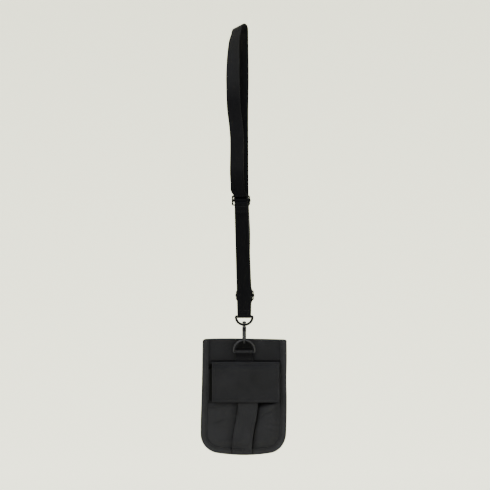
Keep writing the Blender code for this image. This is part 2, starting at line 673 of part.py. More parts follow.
def make_ring_and_tab():
    half = TAB_WIDTH / 2 + SEAT_GAP + D_RING_CORNER
    points = []
    for x, rise in d_loop(half, D_RING_HEIGHT, D_RING_CORNER):
        y = RING_BAR_Y - rise * math.sin(D_RING_LEAN)
        points.append(Vector((x, y, RING_BAR_Z + rise * math.cos(D_RING_LEAN))))
    place(curve_object("d_ring", points, D_RING_WIRE / 2, True, 4), "ring", "nickel")

    back_y = RING_BAR_Y + TAB_LOOP
    front_y = back_y - TAB_THICKNESS - SEAT_GAP
    foot = RING_BAR_Z - TAB_LENGTH
    line = [(back_y, foot)]
    line += arc((RING_BAR_Y, RING_BAR_Z), (TAB_LOOP, TAB_LOOP), 0, 180, ROUND_STEPS)
    line += eased_run((RING_BAR_Y - TAB_LOOP, RING_BAR_Z), (front_y, FLAP_TOP))[1:]
    line.append((front_y, foot))
    sections = [[(x, y, z) for x in (-TAB_WIDTH / 2, TAB_WIDTH / 2)] for y, z in line]
    place(solidify(swept_sheet("ring_tab", sections), TAB_THICKNESS), "pouch", "webbing")


def pouch_outline(inset, rise=0):
    """The pouch's edge as (x, z) points, from the top left corner down and round to the top right."""
    half = POUCH_WIDTH / 2 - inset
    corner = POUCH_CORNER - inset
    span = half - corner
    bow = span / math.sin(POUCH_BOW) + corner
    bow_z = POUCH_FOOT + inset + bow
    corner_z = bow_z - (bow - corner) * math.cos(POUCH_BOW)
    turn = math.degrees(POUCH_BOW)
    line = [(-POUCH_TOP_WIDTH / 2 + inset, POUCH_TOP + rise)]
    line += arc((-span, corner_z), (corner, corner), 180, 270 - turn)
    line += arc((0, bow_z), (bow, bow), 270 - turn, 270 + turn)[1:-1]
    line += arc((span, corner_z), (corner, corner), 270 + turn, 360)
    line.append((POUCH_TOP_WIDTH / 2 - inset, POUCH_TOP + rise))
    return line


def panel(name, y, depth, thickness, top, material):
    """A cloth panel of the pouch: flat, or with a middle that stands off its sewn rim by depth.

    It is made taller than the pouch, so that its middle runs straight out at the cut top edge.
    """
    bm = bmesh.new()
    rise = PANEL_RIM + 2 * PANEL_SLOPE
    face = bm.faces.new([bm.verts.new((x, y, z)) for x, z in pouch_outline(PANEL_INSET, rise)])
    if depth:
        bm.normal_update()
        sign = 1 if face.normal.y > 0 else -1
        bmesh.ops.inset_region(bm, faces=[face], thickness=PANEL_RIM, use_even_offset=True,
                               use_boundary=True)
        bmesh.ops.inset_region(bm, faces=[face], thickness=PANEL_SLOPE, depth=sign * depth,
                               use_even_offset=True, use_boundary=True)
    bmesh.ops.bisect_plane(bm, geom=[*bm.verts, *bm.edges, *bm.faces], plane_co=(0, 0, top),
                           plane_no=(0, 0, 1), clear_outer=True)
    return place(solidify(mesh_object(name, bm), thickness), "pouch", material)


def make_panels():
    panel("back_panel", BACK_RIM_Y, BACK_Y - BACK_RIM_Y, PANEL_THICKNESS, POUCH_TOP, "nylon")
    panel("front_panel", PANEL_Y, 0, PANEL_THICKNESS, POUCH_TOP, "nylon")
    panel("pocket_panel", POCKET_RIM_Y, POCKET_Y - POCKET_RIM_Y, POCKET_THICKNESS, POCKET_MOUTH,
          "nylon")


def make_binding():
    outer = pouch_outline(BINDING_THICKNESS / 2)
    inner = pouch_outline(BINDING_WIDTH)
    sections = []
    for (x, z), (x_in, z_in) in zip(outer, inner):
        sections.append(((x_in, BINDING_FRONT_Y, z_in), (x, BINDING_FRONT_Y, z),
                         (x, BINDING_BACK_Y, z), (x_in, BINDING_BACK_Y, z_in)))
    place(solidify(swept_sheet("edge_binding", sections), BINDING_THICKNESS), "pouch", "binding")


def make_pleat():
    """The box pleat: its front layer with both edges folded under and tucked towards the middle."""
    half = PLEAT_WIDTH / 2
    tuck = half - PLEAT_TUCK
    fold = PLEAT_LAYER / 2
    profile = [(-tuck, PLEAT_LAYER)]
    profile += arc((fold - half, PLEAT_LAYER + fold), (fold, fold), 270, 90, CORNER_STEPS)
    profile += arc((half - fold, PLEAT_LAYER + fold), (fold, fold), 90, -90, CORNER_STEPS)
    profile.append((tuck, PLEAT_LAYER))
    slope_foot = POUCH_FOOT + PANEL_INSET + PANEL_RIM
    slope_top = slope_foot + PANEL_SLOPE
    foot = slope_foot + PLEAT_ABOVE_BINDING
    sections = []
    for z in (POCKET_MOUTH, FLAP_FOOT, (FLAP_FOOT + slope_top) / 2, slope_top, foot):
        share = (FLAP_FOOT - z) / (FLAP_FOOT - slope_foot)
        middle = ease(PLEAT_TOP_X, PLEAT_FOOT_X, share)
        drop = max(0, (slope_top - z) / PANEL_SLOPE)
        base = POCKET_Y + (POCKET_RIM_Y - POCKET_Y) * drop
        sections.append([(middle + x, base - off, z) for x, off in profile])
    place(solidify(swept_sheet("pocket_pleat", sections), POCKET_THICKNESS), "pouch", "nylon")


def flap_layer(name, offset, thickness, inset, material):
    """One layer of the flap: it leans out over the tab's end and the pocket, then hangs straight."""
    sections = []
    reach = FLAP_TOP - POCKET_MOUTH
    half = FLAP_WIDTH / 2 - inset
    foot = FLAP_FOOT + inset
    heights = [FLAP_TOP - reach * n / RUN_STEPS for n in range(RUN_STEPS + 1)]
    heights.append(foot)
    for z in heights:
        y = ease(LINING_TOP_Y, LINING_Y, (FLAP_TOP - z) / reach) - offset
        sections.append([(FLAP_X + x, y, z) for x in (-half, half)])
    place(solidify(swept_sheet(name, sections), thickness), "flap", material)


def make_flap():
    flap_layer("flap_outer", FLAP_STEP, FLAP_THICKNESS, 0, "nylon")
    flap_layer("flap_lining", 0, LINING_THICKNESS, LINING_INSET, "nylon")
    z = FLAP_FOOT + TAPE_ABOVE_HEM + TAPE_HEIGHT / 2
    half = Vector((TAPE_WIDTH / 2, TAPE_THICKNESS / 2, TAPE_HEIGHT / 2))
    halves = (("pocket_tape_", POCKET_TAPE_Y, "pouch"), ("flap_tape_", FLAP_TAPE_Y, "flap"))
    for side, word in ((-1, "left"), (1, "right")):
        for name, y, body in halves:
            centre = Vector((side * TAPE_X, y, z))
            tape = box(name + word, centre - half, centre + half)
            edge = tape.modifiers.new("cut corners", "BEVEL")
            edge.width = TAPE_EDGE
            edge.segments = 1
            place(tape, body, "tape")


clear_scene()
PARTS = new_collection("neck_pouch_wallet")
CUTTERS = new_collection("cutters")
MATERIALS = {name: make_material(name) for name in COLOURS}
EMPTIES = joint_empties()
make_neck_webbing()
make_tail_webbing()
make_lower_webbing()
make_slider("front_slider")
make_slider("rear_slider")
make_bail()
make_rivet()
make_hook()
make_gate()
make_ring_and_tab()
make_panels()
make_binding()
make_pleat()
make_flap()
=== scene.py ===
# %% [markdown]
# # A neck pouch wallet, dressed
# A flat nylon pouch hangs by a D ring and a swivel snap hook from an adjustable strap.
# The CAD model gives every size, place and joint. This lesson dresses it: woven strap, sewn
# cloth, cast and bent metal. Each finished piece keeps its place in its own mesh, so its
# object stays at the origin and rides on a CAD body by name.

# %% Load the frame
import math

import bmesh
import bpy
import numpy as np
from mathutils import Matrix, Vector, noise


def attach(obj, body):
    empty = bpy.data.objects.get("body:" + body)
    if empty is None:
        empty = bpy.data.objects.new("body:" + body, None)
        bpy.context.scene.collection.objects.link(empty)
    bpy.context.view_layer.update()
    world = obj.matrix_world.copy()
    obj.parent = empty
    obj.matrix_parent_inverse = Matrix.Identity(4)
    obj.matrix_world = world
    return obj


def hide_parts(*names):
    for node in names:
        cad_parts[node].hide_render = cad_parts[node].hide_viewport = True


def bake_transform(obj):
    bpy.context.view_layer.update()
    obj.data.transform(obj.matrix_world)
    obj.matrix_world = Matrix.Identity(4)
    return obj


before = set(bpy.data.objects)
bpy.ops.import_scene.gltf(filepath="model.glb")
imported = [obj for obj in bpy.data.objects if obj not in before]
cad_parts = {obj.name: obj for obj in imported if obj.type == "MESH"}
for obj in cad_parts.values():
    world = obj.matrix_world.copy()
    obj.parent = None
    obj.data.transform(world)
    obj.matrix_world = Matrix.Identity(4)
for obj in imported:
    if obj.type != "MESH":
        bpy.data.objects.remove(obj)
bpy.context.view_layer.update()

# %% [markdown]
# ## The camera
# The pouch was seen square from the front at about 1.38 mm to a pixel. A long lens 6 m away keeps
# that scale nearly the same for every layer, from the hook in front to the pouch's back.

# %% Camera
PIXEL = 0.00138
PICTURE = 490
DISTANCE = 6.0
FACE_DEPTH = 0.004
AIM_X, AIM_Z = 0.0011, -0.305


def placed(name, data):
    """A new object at the origin, linked to the scene."""
    made = bpy.data.objects.new(name, data)
    bpy.context.scene.collection.objects.link(made)
    return made


camera = placed("camera", bpy.data.cameras.new("camera"))
camera.data.sensor_width = 36
camera.data.lens = camera.data.sensor_width * (DISTANCE + FACE_DEPTH) / (PIXEL * PICTURE)
camera.location = (AIM_X, -DISTANCE, AIM_Z)
camera.rotation_euler = (math.pi / 2, 0, 0)
bpy.context.scene.camera = camera
print("lens", round(camera.data.lens, 1), "mm")

# %% [markdown]
# ## Colours and nodes
# Colours are written as the sRGB hex values a picker shows, and one function turns them to the
# linear values that shaders use. One small function adds any node with its settings and links.

# %% Colour and node helpers


def linear(code):
    """The linear colour, with full alpha, of an sRGB hex code."""
    channels = [int(code[n:n + 2], 16) / 255 for n in (1, 3, 5)]
    return [c / 12.92 if c <= 0.04045 else ((c + 0.055) / 1.055) ** 2.4 for c in channels] + [1]


def add(tree, kind, inputs=None, **settings):
    """A new node with its settings, and with a link or a value at each named input."""
    made = tree.nodes.new(kind)
    for key, value in settings.items():
        setattr(made, key, value)
    for key, value in (inputs or {}).items():
        if isinstance(value, bpy.types.NodeSocket):
            tree.links.new(value, made.inputs[key])
        else:
            made.inputs[key].default_value = value
    return made


def mixed(tree, share, first, second, blend="MIX"):
    """The colour between first and second by a share."""
    made = add(tree, "ShaderNodeMix", {0: share, 6: first, 7: second}, data_type="RGBA", blend_type=blend)
    return made.outputs[2]


def mapped(tree, value, low, high, start=0.0, end=1.0):
    """The value stretched from start and end to low and high, and held there outside them."""
    made = add(tree, "ShaderNodeMapRange", {
        "Value": value, "From Min": start, "From Max": end, "To Min": low, "To Max": high})
    return made.outputs["Result"]


def product(tree, first, second):
    """Two values multiplied."""
    made = add(tree, "ShaderNodeMath", {0: first, 1: second}, operation="MULTIPLY")
    return made.outputs["Value"]


def new_material(name, inputs):
    """An empty material with its Principled shader, whose constant values go on its own sockets."""
    material = bpy.data.materials.new(name)
    material.use_nodes = True
    shader = material.node_tree.nodes["Principled BSDF"]
    for key, value in inputs.items():
        shader.inputs[key].default_value = value
    return material, material.node_tree, shader


print("colour and node helpers ready")

# %% [markdown]
# ## Woven cloth
# A weave is drawn on the cloth's own UV map, so its yarns follow every fold. There are two patterns, a
# plain weave and long warp floats. Rubbed places turn paler, and painted light and shade change the tone
# the same way: paler for painted highlights, darker for painted shade in deep places. Bump raises the yarns.


# %% Weaves
def plain_weave(tree, mm, yarn):
    """One yarn over, one under: two ribbed waves that change places on a checker."""
    cells = add(tree, "ShaderNodeMapping", {
        "Vector": mm, "Scale": (1 / yarn[0], 1 / yarn[1], 1)})
    # At scale 1 the bands of a wave texture repeat every pi / 10
    bands = {"Vector": cells.outputs["Vector"], "Scale": math.pi / 10, "Distortion": 0.4}
    ribs = [add(tree, "ShaderNodeTexWave", bands, bands_direction=axis) for axis in "XY"]
    over = add(tree, "ShaderNodeTexChecker", {"Vector": cells.outputs["Vector"], "Scale": 1})
    height = add(tree, "ShaderNodeMix", {
        0: over.outputs["Fac"], 2: ribs[0].outputs["Fac"], 3: ribs[1].outputs["Fac"]})
    return height.outputs[0], over.outputs["Fac"]


def warp_floats(tree, mm, yarn):
    """Long warp yarns that dive under the weft in turn: staggered bricks with soft joints."""
    bricks = add(tree, "ShaderNodeTexBrick", {
        "Vector": mm, "Scale": 1, "Brick Width": yarn[0], "Row Height": yarn[1],
        "Mortar Size": yarn[1] * 0.32, "Mortar Smooth": 1.0,
        "Color1": (0, 0, 0, 1), "Color2": (1, 1, 1, 1), "Mortar": (0.5, 0.5, 0.5, 1)}, offset=0.5)
    height = add(tree, "ShaderNodeMath", {0: 1.0, 1: bricks.outputs["Fac"]}, operation="SUBTRACT")
    return height.outputs["Value"], bricks.outputs["Color"]


def woven(name, weave, yarn, depth, colours, inputs):
    """Cloth drawn on its own UV map, which is in metres, with yarn sizes in millimetres.

    colours are warp, weft, the gaps between yarns, and a pale tone. The mesh's value goes from 1, where
    rubbing has paled the cloth or a highlight is painted, which turns to the pale tone, to -1, where shade is
    painted deep in folds and hollows, which turns nearly black.
    """
    warp, weft, gap, tone_shift = [linear(code) for code in colours]
    material, tree, shader = new_material(name, inputs)
    place = add(tree, "ShaderNodeUVMap", uv_map="cut")
    mm = add(tree, "ShaderNodeMapping", {"Vector": place.outputs["UV"], "Scale": (1000, 1000, 1000)})
    mm = mm.outputs["Vector"]
    height, over = weave(tree, mm, yarn)
    yarns = mixed(tree, over, warp, weft)
    ground = mixed(tree, mapped(tree, height, 0, 1, 0, 0.6), gap, yarns)
    # Handling leaves broad soft patches some 30 mm across
    patches = add(tree, "ShaderNodeTexNoise", {
        "Vector": mm, "Scale": 1 / 30, "Detail": 3, "Roughness": 0.55})
    patches = patches.outputs["Fac"]
    toned = mixed(tree, 1.0, ground, mapped(tree, patches, 0.82, 1.18, 0.3, 0.7), "MULTIPLY")
    wear_and_shading = add(tree, "ShaderNodeAttribute", attribute_name="wear_and_shading").outputs["Fac"]
    fuzz = add(tree, "ShaderNodeTexNoise", {"Vector": mm, "Scale": 0.9, "Detail": 4})
    # Above 0 the value turns the colour to the pale tone, for rubbing and painted highlights. Below 0 it
    # darkens the colour, down to 6 percent at -1, as painted shade.
    colour = mixed(tree, product(tree, wear_and_shading, fuzz.outputs["Fac"]), toned, tone_shift)
    shaded = mixed(tree, 1.0, colour, mapped(tree, wear_and_shading, 0.06, 1, -1, 0), "MULTIPLY")
    tree.links.new(shaded, shader.inputs["Base Color"])
    bump = add(tree, "ShaderNodeBump", {"Height": height, "Strength": 0.9, "Distance": depth})
    tree.links.new(bump.outputs["Normal"], shader.inputs["Normal"])
    rough = mapped(tree, patches, inputs["Roughness"] - 0.12, inputs["Roughness"] + 0.08)
    tree.links.new(rough, shader.inputs["Roughness"])
    return material


print("weaves ready")

# %% [markdown]
# ## Cloth and webbing finishes
# The pouch is coated nylon in a plain weave: matte charcoal that hardly shines, so its folds, painted dark as
# shade, stay black.
# Real 420 denier yarn is about 0.5 mm wide, so it is drawn at 0.8 mm to show at all. The lining is a finer
# and darker taffeta. The binding is a ribbed tape, a shade paler than the cloth it covers. The strap is
# polyester webbing, whose long warp floats run along it and give a satin gleam.

# %% Cloth materials
NYLON = woven("coated nylon plain weave", plain_weave, (0.8, 0.8), 0.00010,
              ("#212125", "#1e1e22", "#0c0c0e", "#303035"),
              {"Roughness": 0.66, "Specular IOR Level": 0.03})
LINING = woven("nylon taffeta lining", plain_weave, (0.5, 0.5), 0.00006,
               ("#17171b", "#141418", "#09090b", "#222226"),
               {"Roughness": 0.56, "Specular IOR Level": 0.03})
BINDING = woven("woven polyester binding", plain_weave, (0.6, 1.2), 0.00010,
                ("#28282c", "#242428", "#101012", "#36363b"),
                {"Roughness": 0.70, "Specular IOR Level": 0.03})
WEBBING = woven("polyester webbing", warp_floats, (2.6, 0.95), 0.00020,
                ("#060609", "#040406", "#020203", "#2d2d30"),
                {"Roughness": 0.42, "Specular IOR Level": 0.045, "Specular Tint": linear("#ececff")})
print("cloths", NYLON.name, LINING.name, BINDING.name, WEBBING.name)

# %% [markdown]
# ## Thread, metal and tape finishes
# Thread is bonded nylon, a little shinier than the cloth. The hook and bail are zinc castings and the
# ring is bent wire, all under black nickel plate. The plate on the ring and hook is bare and rubbed grey,
# while the bail still wears its dark lacquer. The slider wire is blackened steel. Moulded hook tape has a
# hard gloss on its cells, and brushed loop tape is a dull fuzz.


# %% Thread, metal and tape materials
def rubbed_surface(name, dark, light, grain, rough, inputs, kind="ShaderNodeTexNoise", depth=0.00004):
    """A hard surface whose tone and gloss wander with marks or cells of grain millimetres."""
    material, tree, shader = new_material(name, inputs)
    place = add(tree, "ShaderNodeTexCoord")
    marks = add(tree, kind, {
        "Vector": place.outputs["Object"], "Scale": 1000 / grain, "Detail": 4, "Roughness": 0.6})
    tone = mixed(tree, marks.outputs[0], linear(dark), linear(light))
    tree.links.new(tone, shader.inputs["Base Color"])
    gloss = mapped(tree, marks.outputs[0], rough[0], rough[1], 0.3, 0.7)
    tree.links.new(gloss, shader.inputs["Roughness"])
    bump = add(tree, "ShaderNodeBump", {
        "Height": marks.outputs[0], "Strength": 0.3, "Distance": depth})
    tree.links.new(bump.outputs["Normal"], shader.inputs["Normal"])
    return material


# Metal seen edge on mirrors the bright room behind it. Thin black plate does not, so its edge tint is black
PLATED = {"Metallic": 1.0, "Specular Tint": linear("#000000")}
NICKEL = rubbed_surface("black nickel plate", "#27272b", "#36363b", 1.6, (0.46, 0.60), PLATED)
LACQUER = rubbed_surface("black nickel under lacquer", "#111113", "#1b1b1e", 1.6, (0.40, 0.54), PLATED)
WIRE = rubbed_surface("blackened steel wire", "#0c0c0e", "#141417", 1.2, (0.42, 0.56), PLATED)
THREAD = rubbed_surface("bonded nylon thread", "#0e0e11", "#1b1b1f", 0.5, (0.50, 0.65),
                        {"Specular IOR Level": 0.12})
HOOK_TAPE = rubbed_surface("moulded hook tape", "#060606", "#181818", 1.1, (0.45, 0.60),
                           {"Specular IOR Level": 0.35}, "ShaderNodeTexVoronoi", 0.00030)
LOOP_TAPE = rubbed_surface("brushed loop tape", "#0a0a0a", "#1a1a1a", 0.6, (0.85, 0.95),
                           {"Specular IOR Level": 0.1, "Sheen Weight": 0.06, "Sheen Roughness": 0.6},
                           depth=0.00020)
print("metals", NICKEL.name, LACQUER.name, WIRE.name)
print("thread and tapes", THREAD.name, HOOK_TAPE.name, LOOP_TAPE.name)

# %% [markdown]
# ## The studio
# A pale round cove, floor and side in one turned sheet, stands well outside the camera's path, so
# the object shows against the same quiet tone from every side. The paper glows from behind, most behind
# the object and near the floor, and less on the camera's side, so that broad soft lights can model dark
# cloth and webbing without a grey veil over them.

# %% Cove
FLOOR_Z = -0.90
COVE_RADIUS = 8.0
COVE_BEND = 2.5
COVE_TOP = 5.0
# Glow at the floor, glow higher up and the height where that is reached, then what is left of it by depth
GLOW_LOW, GLOW_HIGH, GLOW_TOP = 2.3, 1.5, 0.5
NEAR_SIDE, FAR_SIDE = (-4.0, 0.45), (2.0, 1.0)


def between_rings(rings, sides, closed=False):
    """Quads from each ring of points to the next, and from the last to the first where closed."""
    faces = []
    for ring in range(rings if closed else rings - 1):
        a, b = ring * sides, (ring + 1) % rings * sides
        for n in range(sides):
            m = (n + 1) % sides
            faces.append((a + n, a + m, b + m, b + n))
    return faces


def turned(profile, centre=(0, 0, 0), sides=48):
    """Vertices and faces of a (radius, height) profile turned about a plumb line."""
    turns = np.linspace(0, 2 * math.pi, sides, endpoint=False)
    verts = [(centre[0] + r * math.cos(t), centre[1] + r * math.sin(t), centre[2] + z)
             for r, z in profile for t in turns]
    return verts, between_rings(len(profile), sides)


def arc(centre, radii, start, end, steps):
    """Points on an ellipse's arc, angles in degrees, as an array of pairs."""
    turn = np.radians(np.linspace(start, end, steps + 1))
    return np.stack([centre[0] + radii[0] * np.cos(turn), centre[1] + radii[1] * np.sin(turn)], axis=1)


bend = arc((COVE_RADIUS - COVE_BEND, FLOOR_Z + COVE_BEND), (COVE_BEND, COVE_BEND), -90, 0, 16)
cove_mesh = bpy.data.meshes.new("cove")
verts, faces = turned([(1e-4, FLOOR_Z), *bend, (COVE_RADIUS, COVE_TOP)], sides=96)
cove_mesh.from_pydata(verts, [], faces)
cove_mesh.shade_smooth()
cove = placed("cove", cove_mesh)
paper, tree, shader = new_material("pale backdrop paper, lit from behind", {
    "Roughness": 0.95, "Base Color": linear("#dcdccd"), "Emission Color": linear("#e7e7d3")})
place = add(tree, "ShaderNodeTexCoord")
height = add(tree, "ShaderNodeSeparateXYZ", {"Vector": place.outputs["Object"]})
glow = mapped(tree, height.outputs["Z"], GLOW_LOW, GLOW_HIGH, FLOOR_Z, GLOW_TOP)
shade = mapped(tree, height.outputs["Y"], NEAR_SIDE[1], FAR_SIDE[1], NEAR_SIDE[0], FAR_SIDE[0])
tree.links.new(product(tree, glow, shade), shader.inputs["Emission Strength"])
cove_mesh.materials.append(paper)
print("cove radius", COVE_RADIUS, "m")

# %% [markdown]
# ## Lights
# A dim even room and four soft lights: a key from the upper left, a low fill from the right, one from
# above and one from behind. None is seen by the camera.

# %% Lights
LIT_POINT = Vector((0, 0, -0.35))
COOL_WHITE = (0.95, 0.98, 1.0)
ROOM_LIGHT = 0.5
# Each light's name, place, size and power
LIGHTS = (("key", (-1.5, -1.8, 0.7), 1.0, 46), ("fill", (1.0, -1.8, -0.7), 1.4, 22),
          ("top", (0.1, -0.4, 1.5), 1.2, 30), ("back", (0.4, 1.8, 0.5), 1.6, 14))

world = bpy.data.worlds.new("room")
world.use_nodes = True
world.node_tree.nodes["Background"].inputs["Color"].default_value = linear("#e4e6e2")
world.node_tree.nodes["Background"].inputs["Strength"].default_value = ROOM_LIGHT
bpy.context.scene.world = world

for name, place, size, power in LIGHTS:
    light = placed(name, bpy.data.lights.new(name, "AREA"))
    light.data.size = size
    light.data.energy = power
    light.data.color = COOL_WHITE
    light.visible_camera = False
    light.location = place
    light.rotation_euler = (LIT_POINT - light.location).to_track_quat("-Z", "Y").to_euler()
print(len(LIGHTS), "lights")

# %% [markdown]
# ## Making meshes
# Every piece comes from points worked out in the part's own frame. One function turns points and faces
# into an object, with a UV map in metres for the weave and a value for rubbing at hems and for painted
# light and shade in folds.


# %% Mesh helpers
def finish_piece(name, verts, faces, material, uv=None, wear_and_shading=None):
    """An object of points and faces, with the weave's UV map and the value of rubbing and painted shading
    where they are given.
    """
    mesh = bpy.data.meshes.new(name)
    mesh.from_pydata([tuple(v) for v in verts], [], faces)
    if uv is not None:
        layer = mesh.uv_layers.new(name="cut")
        corner = np.zeros(len(mesh.loops), np.int32)
        mesh.loops.foreach_get("vertex_index", corner)
        layer.data.foreach_set("uv", np.asarray(uv, np.float32)[corner].ravel())
    values = mesh.attributes.new("wear_and_shading", "FLOAT", "POINT")
    values.data.foreach_set("value", np.zeros(len(verts), np.float32) if wear_and_shading is None
                            else np.asarray(wear_and_shading, np.float32))
    bm = bmesh.new()
    bm.from_mesh(mesh)
    bmesh.ops.recalc_face_normals(bm, faces=bm.faces)
    bm.to_mesh(mesh)
    bm.free()
    mesh.shade_smooth()
    mesh.materials.append(material)
    return placed(name, mesh)


def unit(vectors):
    """The same directions at length 1."""
    return vectors / np.maximum(np.linalg.norm(vectors, axis=-1, keepdims=True), 1e-12)


def run_length(points):
    """Length along a line of points up to each of them."""
    return np.concatenate([[0], np.cumsum(np.linalg.norm(np.diff(points, axis=0), axis=1))])


print("mesh helpers ready")

# %% [markdown]
# ## Sheets and wires
# A sheet has two faces and a rounded rim. A wire is a round section swept along points in one plane, and
# it may swell on its way.


# %% Sheets and wires
def cloth(name, middle, thickness, uv, wear_and_shading, material):
    """A closed sheet with rounded rims round a grid of points on its middle surface."""
    rows, cols = middle.shape[:2]
    normal = unit(np.cross(np.gradient(middle, axis=1), np.gradient(middle, axis=0)))
    half = normal * (np.broadcast_to(thickness, (rows, cols))[..., None] / 2)
    rim = [(0, c) for c in range(cols)] + [(r, cols - 1) for r in range(1, rows)]
    rim += [(rows - 1, c) for c in range(cols - 2, -1, -1)] + [(r, 0) for r in range(rows - 2, 0, -1)]
    edge, at, rub_and_shading = [], [], []
    for r, c in rim:
        inner = middle[min(max(r, 1), rows - 2), min(max(c, 1), cols - 2)]
        edge.append(middle[r, c] + unit(middle[r, c] - inner) * np.linalg.norm(half[r, c]))
        at.append(uv[r, c])
        rub_and_shading.append(wear_and_shading[r, c])
    verts = np.concatenate([(middle + half).reshape(-1, 3), (middle - half).reshape(-1, 3), np.array(edge)])
    flat_uv = uv.reshape(-1, 2)
    flat_wear_and_shading = wear_and_shading.ravel()
    count = rows * cols
    faces = []
    for r in range(rows - 1):
        for c in range(cols - 1):
            a = r * cols + c
            faces.append((a, a + 1, a + cols + 1, a + cols))
            faces.append((count + a + cols, count + a + cols + 1, count + a + 1, count + a))
    ring = len(rim)
    for n, (r, c) in enumerate(rim):
        m = (n + 1) % ring
        a, b = r * cols + c, rim[m][0] * cols + rim[m][1]
        faces.append((b, a, 2 * count + n, 2 * count + m))
        faces.append((2 * count + m, 2 * count + n, count + a, count + b))
    return finish_piece(name, verts, faces, material, np.concatenate([flat_uv, flat_uv, at]),
                        np.concatenate([flat_wear_and_shading, flat_wear_and_shading, rub_and_shading]))


def tube(points, radius, sides=20, closed=False, plane=(0, 1, 0), wide=1.0):
    """Vertices and faces of a wire along points in one plane, its section widened across that plane."""
    points = np.asarray(points, float)
    ahead = np.roll(points, -1, 0) - np.roll(points, 1, 0)
    if not closed:
        ahead = np.gradient(points, axis=0)
    out = np.broadcast_to(np.asarray(plane, float), points.shape)
    side = unit(np.cross(unit(ahead), out))
    turns = np.linspace(0, 2 * math.pi, sides, endpoint=False)
    radii = np.broadcast_to(radius, len(points))[:, None, None]
    wide = np.broadcast_to(wide, len(points))[:, None, None]
    rings = points[:, None] + radii * (np.cos(turns)[:, None] * side[:, None]
                                       + wide * np.sin(turns)[:, None] * unit(out)[:, None])
    count = len(points)
    faces = between_rings(count, sides, closed)
    if not closed:
        faces.append(tuple(range(sides)))
        faces.append(tuple(range((count - 1) * sides, count * sides)))
    return rings.reshape(-1, 3).tolist(), faces


print("sheets and wires ready")

# %% [markdown]
# ## The strap's route
# The strap is one length of 19 mm webbing. It starts sewn round the front slider's bar, runs down,
# round the bail, up through the rear slider, over the neck, down through the front slider, and ends
# sewn round the rear slider's bar. The stations below repeat the CAD route with finer steps.

# %% Strap sizes
WEB_WIDTH = 0.019
WEB_THICK = 0.0014
GAP = 0.0003
LAYER = WEB_THICK + GAP
BAR_Z = -0.403
FRONT = (-0.0042, 0.0015, -0.2436)
REAR = (0.0009, 0.0049, -0.3745)
OVER_WIRE = 0.0019
BAR_LOOP = 0.0021
HEM_ROUND = (0.0018, 0.0028)
WAVE = (0.0035, 0.0045)
REACH = 0.0064
PLAY = 0.0010
REAR_GRIP, FRONT_GRIP = 0.0095, 0.006
HEM_LENGTH = 0.018
TAIL_TOP_Y, TAIL_FOOT_Y = -0.0004, 0.0013
BACK_TOP_Y, BACK_FOOT_Y = 0.0067, 0.0030
FRONT_SPLIT = (-0.0095, TAIL_TOP_Y, -0.2208)
BACK_SPLIT_Z = -0.3167
FOLD = (-0.0062, 0.001108, -0.0105)
FOLD_BEND = 0.0073
FOLD_TURN = -40
FOLD_TILT = 20
TILT_SPAN, DEPTH_FROM = 0.20, 0.45
# Knots of the free strands: share of the way down, sideways place, turn in degrees
FRONT_SWAY = ((0.06, -0.0140, -38), (0.23, -0.0156, -20), (0.32, -0.0157, -12), (0.50, -0.0144, -6),
              (0.62, -0.0114, -4), (0.71, -0.0100, -3), (0.84, -0.0101, -2), (0.93, -0.0103, 0))
BACK_SWAY = ((0.08, -0.0023, -30), (0.22, -0.0029, -15), (0.35, -0.0038, -5), (0.49, -0.0038, 0),
             (0.71, -0.0034, 0), (0.80, -0.0027, 0), (0.90, -0.0012, 0))
print("sliders at", FRONT[2], "and", REAR[2])

# %% [markdown]
# ## Curves of the route
# Stations are centres with the direction across the webbing. In the sliders and round the bars the
# webbing follows arcs, and between them it eases from one layer's depth to the next. Over the neck it
# hangs free, so its place and turn there go smoothly through a few knots.


# %% Route helpers
def ease(share, low=0, high=1):
    """A smooth change from low to high as share goes from 0 to 1."""
    share = np.clip(share, 0, 1)
    return low + (high - low) * share * share * (3 - 2 * share)


def knotted(knots, at):
    """A smooth curve through (place, value) knots, with slopes from each knot's neighbours."""
    place, value = np.array(knots, float).T
    order, last = np.arange(len(place)), len(place) - 1
    after, before = np.minimum(order + 1, last), np.maximum(order - 1, 0)
    slope = (value[after] - value[before]) / (place[after] - place[before])
    n = np.clip(np.searchsorted(place, at, side="left") - 1, 0, len(place) - 2)
    span = place[n + 1] - place[n]
    t = (at - place[n]) / span
    return ((1 + 2 * t) * (1 - t) ** 2 * value[n] + t * (1 - t) ** 2 * span * slope[n]
            + t * t * (3 - 2 * t) * value[n + 1] + t * t * (t - 1) * span * slope[n + 1])


def strap_x(z):
    """Sideways place of the strap, against the rear slider's right wire and the front one's left."""
    lean = np.interp(z, (BAR_Z, REAR[2], FRONT[2]), (0, REAR[0], FRONT[0]))
    lean = lean + (REAR[0] + PLAY - lean) * np.exp(-((z - REAR[2]) / REAR_GRIP) ** 6)
    return lean - PLAY * np.exp(-((z - FRONT[2] - REACH) / FRONT_GRIP) ** 2)


def stations(x, y, z, turn=0, tilt=0):
    """Centres and across directions of webbing, turned about the plumb line and tilted in its face."""
    centre = np.stack(np.broadcast_arrays(x, y, z), axis=1).astype(float)
    turn, tilt = np.broadcast_arrays(np.radians(turn), np.radians(tilt), centre[:, 0])[:2]
    across = np.stack([np.cos(turn) * np.cos(tilt), np.sin(turn) * np.cos(tilt), np.sin(tilt)], axis=1)
    return np.concatenate([centre, across], axis=1)


def level(line):
    """Stations of webbing that lies level across, from (depth, height) points."""
    line = np.asarray(line, float)
    return stations(strap_x(line[:, 1]), line[:, 0], line[:, 1])


def run(start, end, steps=24):
    """Points from start to end that ease from one depth to the other."""
    share = np.linspace(0, 1, steps + 1)
    return np.stack([ease(share, start[0], end[0]), start[1] + (end[1] - start[1]) * share], axis=1)


